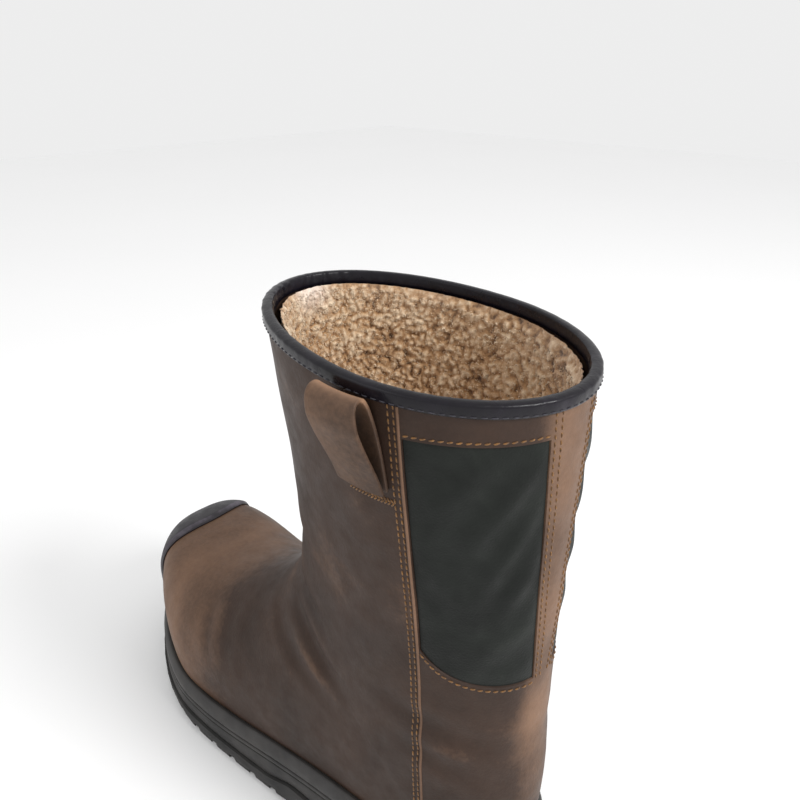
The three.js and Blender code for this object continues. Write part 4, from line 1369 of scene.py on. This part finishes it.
# %% Lay the rows
SEAM_ROWS = (4.4, 2.3)
WELT = 0.8
SEAM_TOP = 278.0
SEAM_BOTTOM = 66.0
seams = Rows()
for sign in (1, -1):
    for offset in SEAM_ROWS:
        u, v = upright_line(PANEL_FRONT + offset, SEAM_BOTTOM, SEAM_TOP, sign)
        seams.add(*on_leather(u, v), 3.1, 2.5, 0.75, 6 * sign)
    shares = np.linspace(0, 1, 60)
    u, v = panel_place(np.full(60, 1.014), shares)
    seams.add(*on_leather(u, sign * v), 3.1, 2.5, 0.75, 12 * sign)
    u, v = panel_place(np.full(60, -0.018), shares)
    seams.add(*on_leather(u, sign * v), 3.1, 2.5, 0.75, 12 * sign)
    for beside in (1.035, 1.095):
        u, v = panel_place(np.linspace(-0.01, 1.1, 120), np.full(120, beside))
        seams.add(*on_leather(u, sign * v), 3.1, 2.4, 0.7, 6 * sign)
    for turned, below in ((-50, 4.6), (50, 6.2)):
        drop = LOOP_DROP + LOOP_LENGTH + below
        v = loop_columns(sign, np.linspace(-0.46, 0.56, 40) * LOOP_WIDTH, drop)
        seams.add(*on_leather(row_below(v, np.full(40, drop)), v), 1.5, 2.1, 0.8, turned, 0.12)
seams.build("stitches_ochre", ochre_thread, "upper")

rim = Rows()
v = np.linspace(-1, 1, 600)
edge_out, edge_drop = 1.25, BINDING_DEPTH - 1.0
rim.add(by_collar(v, np.full(600, edge_out), np.full(600, -edge_drop)),
        outward(row_below(v, np.full(600, edge_drop)), v), 3.6, 2.6, 0.6, 0, 0.0)
rim.build("stitches_binding", dark_thread, "binding")


# %% [markdown]
# ## Raised seam edge
# Between its rows and the soft panel, the side seam shows the folded edge of the leather as a
# thin ridge, painted lighter along its length as a painted highlight. It is swept as a narrow grid
# with a rounded section.

# %% Build the seam edges
def seam_edge(name, sign):
    profile = np.array([(-0.6, -0.25), (-0.5, 0.25), (-0.2, 0.5), (0.2, 0.5), (0.5, 0.3), (0.6, -0.25)])
    columns = []
    for side, high in profile:
        u, v = upright_line(PANEL_FRONT + WELT + side, SEAM_BOTTOM, SEAM_TOP, sign, 220)
        columns.append(on_leather(u, v, high)[0])
    points = np.array(columns)
    if sign < 0:
        points = points[::-1]
    # Painted highlight: the whole ridge is painted lighter.
    wear_and_highlight_share = np.full(points.shape[:2], 0.75)
    piece = sheet_from(name, points, wear=wear_and_highlight_share)
    smooth(piece, 80)
    finish_piece(piece, brown_leather, "upper")


seam_edge("seam_edge_outer", 1)
seam_edge("seam_edge_inner", -1)

# %% [markdown]
# ## Floor, light and camera
# A plain pale floor and soft lights show the materials without drama. The camera stands where the
# photographer stood: behind the outer side and above the collar, 32 cm from it.

# %% Floor and lights
bpy.ops.object.select_all(action="DESELECT")
bpy.ops.mesh.primitive_plane_add(size=6, location=(0, 0, 0))
floor = bpy.context.object
floor.name = "studio_floor"
paper = start("matt_white_paper")
whites = ramp(paper, noise(paper, 400), [(0, "#fafafa"), (1, "#fcfcfc")])
floor.data.materials.append(shade(paper, whites, 0.9))

world = bpy.data.worlds.new("studio")
bpy.context.scene.world = world
bpy.context.scene.view_settings.view_transform = "Standard"
world.use_nodes = True
world.node_tree.nodes["Background"].inputs["Color"].default_value = (1, 1, 1, 1)
world.node_tree.nodes["Background"].inputs["Strength"].default_value = 0.85


def soft_light(name, place, aim, size, watts):
    lamp = bpy.data.lights.new(name, "AREA")
    lamp.shape = "DISK"
    lamp.size = size
    lamp.energy = watts
    stand = bpy.data.objects.new(name, lamp)
    bpy.context.scene.collection.objects.link(stand)
    stand.location = place
    stand.rotation_euler = (Vector(aim) - Vector(place)).to_track_quat("-Z", "Y").to_euler()


soft_light("key", (-1.1, -0.2, 1.2), (0.02, 0, 0.22), 0.5, 16)
soft_light("fill", (0.4, 1.1, 1.1), (0.02, 0, 0.2), 1.0, 2)

# %% Camera
CAMERA_AZIMUTH = 224.19
CAMERA_ELEVATION = 18.78
CAMERA_ROLL = 0.09
CAMERA_PLACE = (-0.1662, 0.2172, 0.388)
CAMERA_FOCUS = 735.58
CAMERA_CENTRE = (393.28, 307.38)
IMAGE = 800
lens = bpy.data.cameras.new("photo_camera")
lens.sensor_width = 36
lens.lens = CAMERA_FOCUS * 36 / IMAGE
lens.shift_x = (IMAGE / 2 - CAMERA_CENTRE[0]) / IMAGE
lens.shift_y = (CAMERA_CENTRE[1] - IMAGE / 2) / IMAGE
lens.clip_start = 0.01
camera = bpy.data.objects.new("photo_camera", lens)
bpy.context.scene.collection.objects.link(camera)
bpy.context.scene.camera = camera
a, e, roll = (math.radians(d) for d in (CAMERA_AZIMUTH, CAMERA_ELEVATION, CAMERA_ROLL))
back = Vector((math.sin(a) * math.cos(e), -math.cos(a) * math.cos(e), math.sin(e)))
right = Vector((0, 0, 1)).cross(back).normalized()
up = back.cross(right)
right_rolled = right * math.cos(roll) + up * math.sin(roll)
up_rolled = up * math.cos(roll) - right * math.sin(roll)
turned = Matrix((right_rolled, up_rolled, back)).transposed().to_4x4()
camera.matrix_world = Matrix.Translation(Vector(CAMERA_PLACE)) @ turned
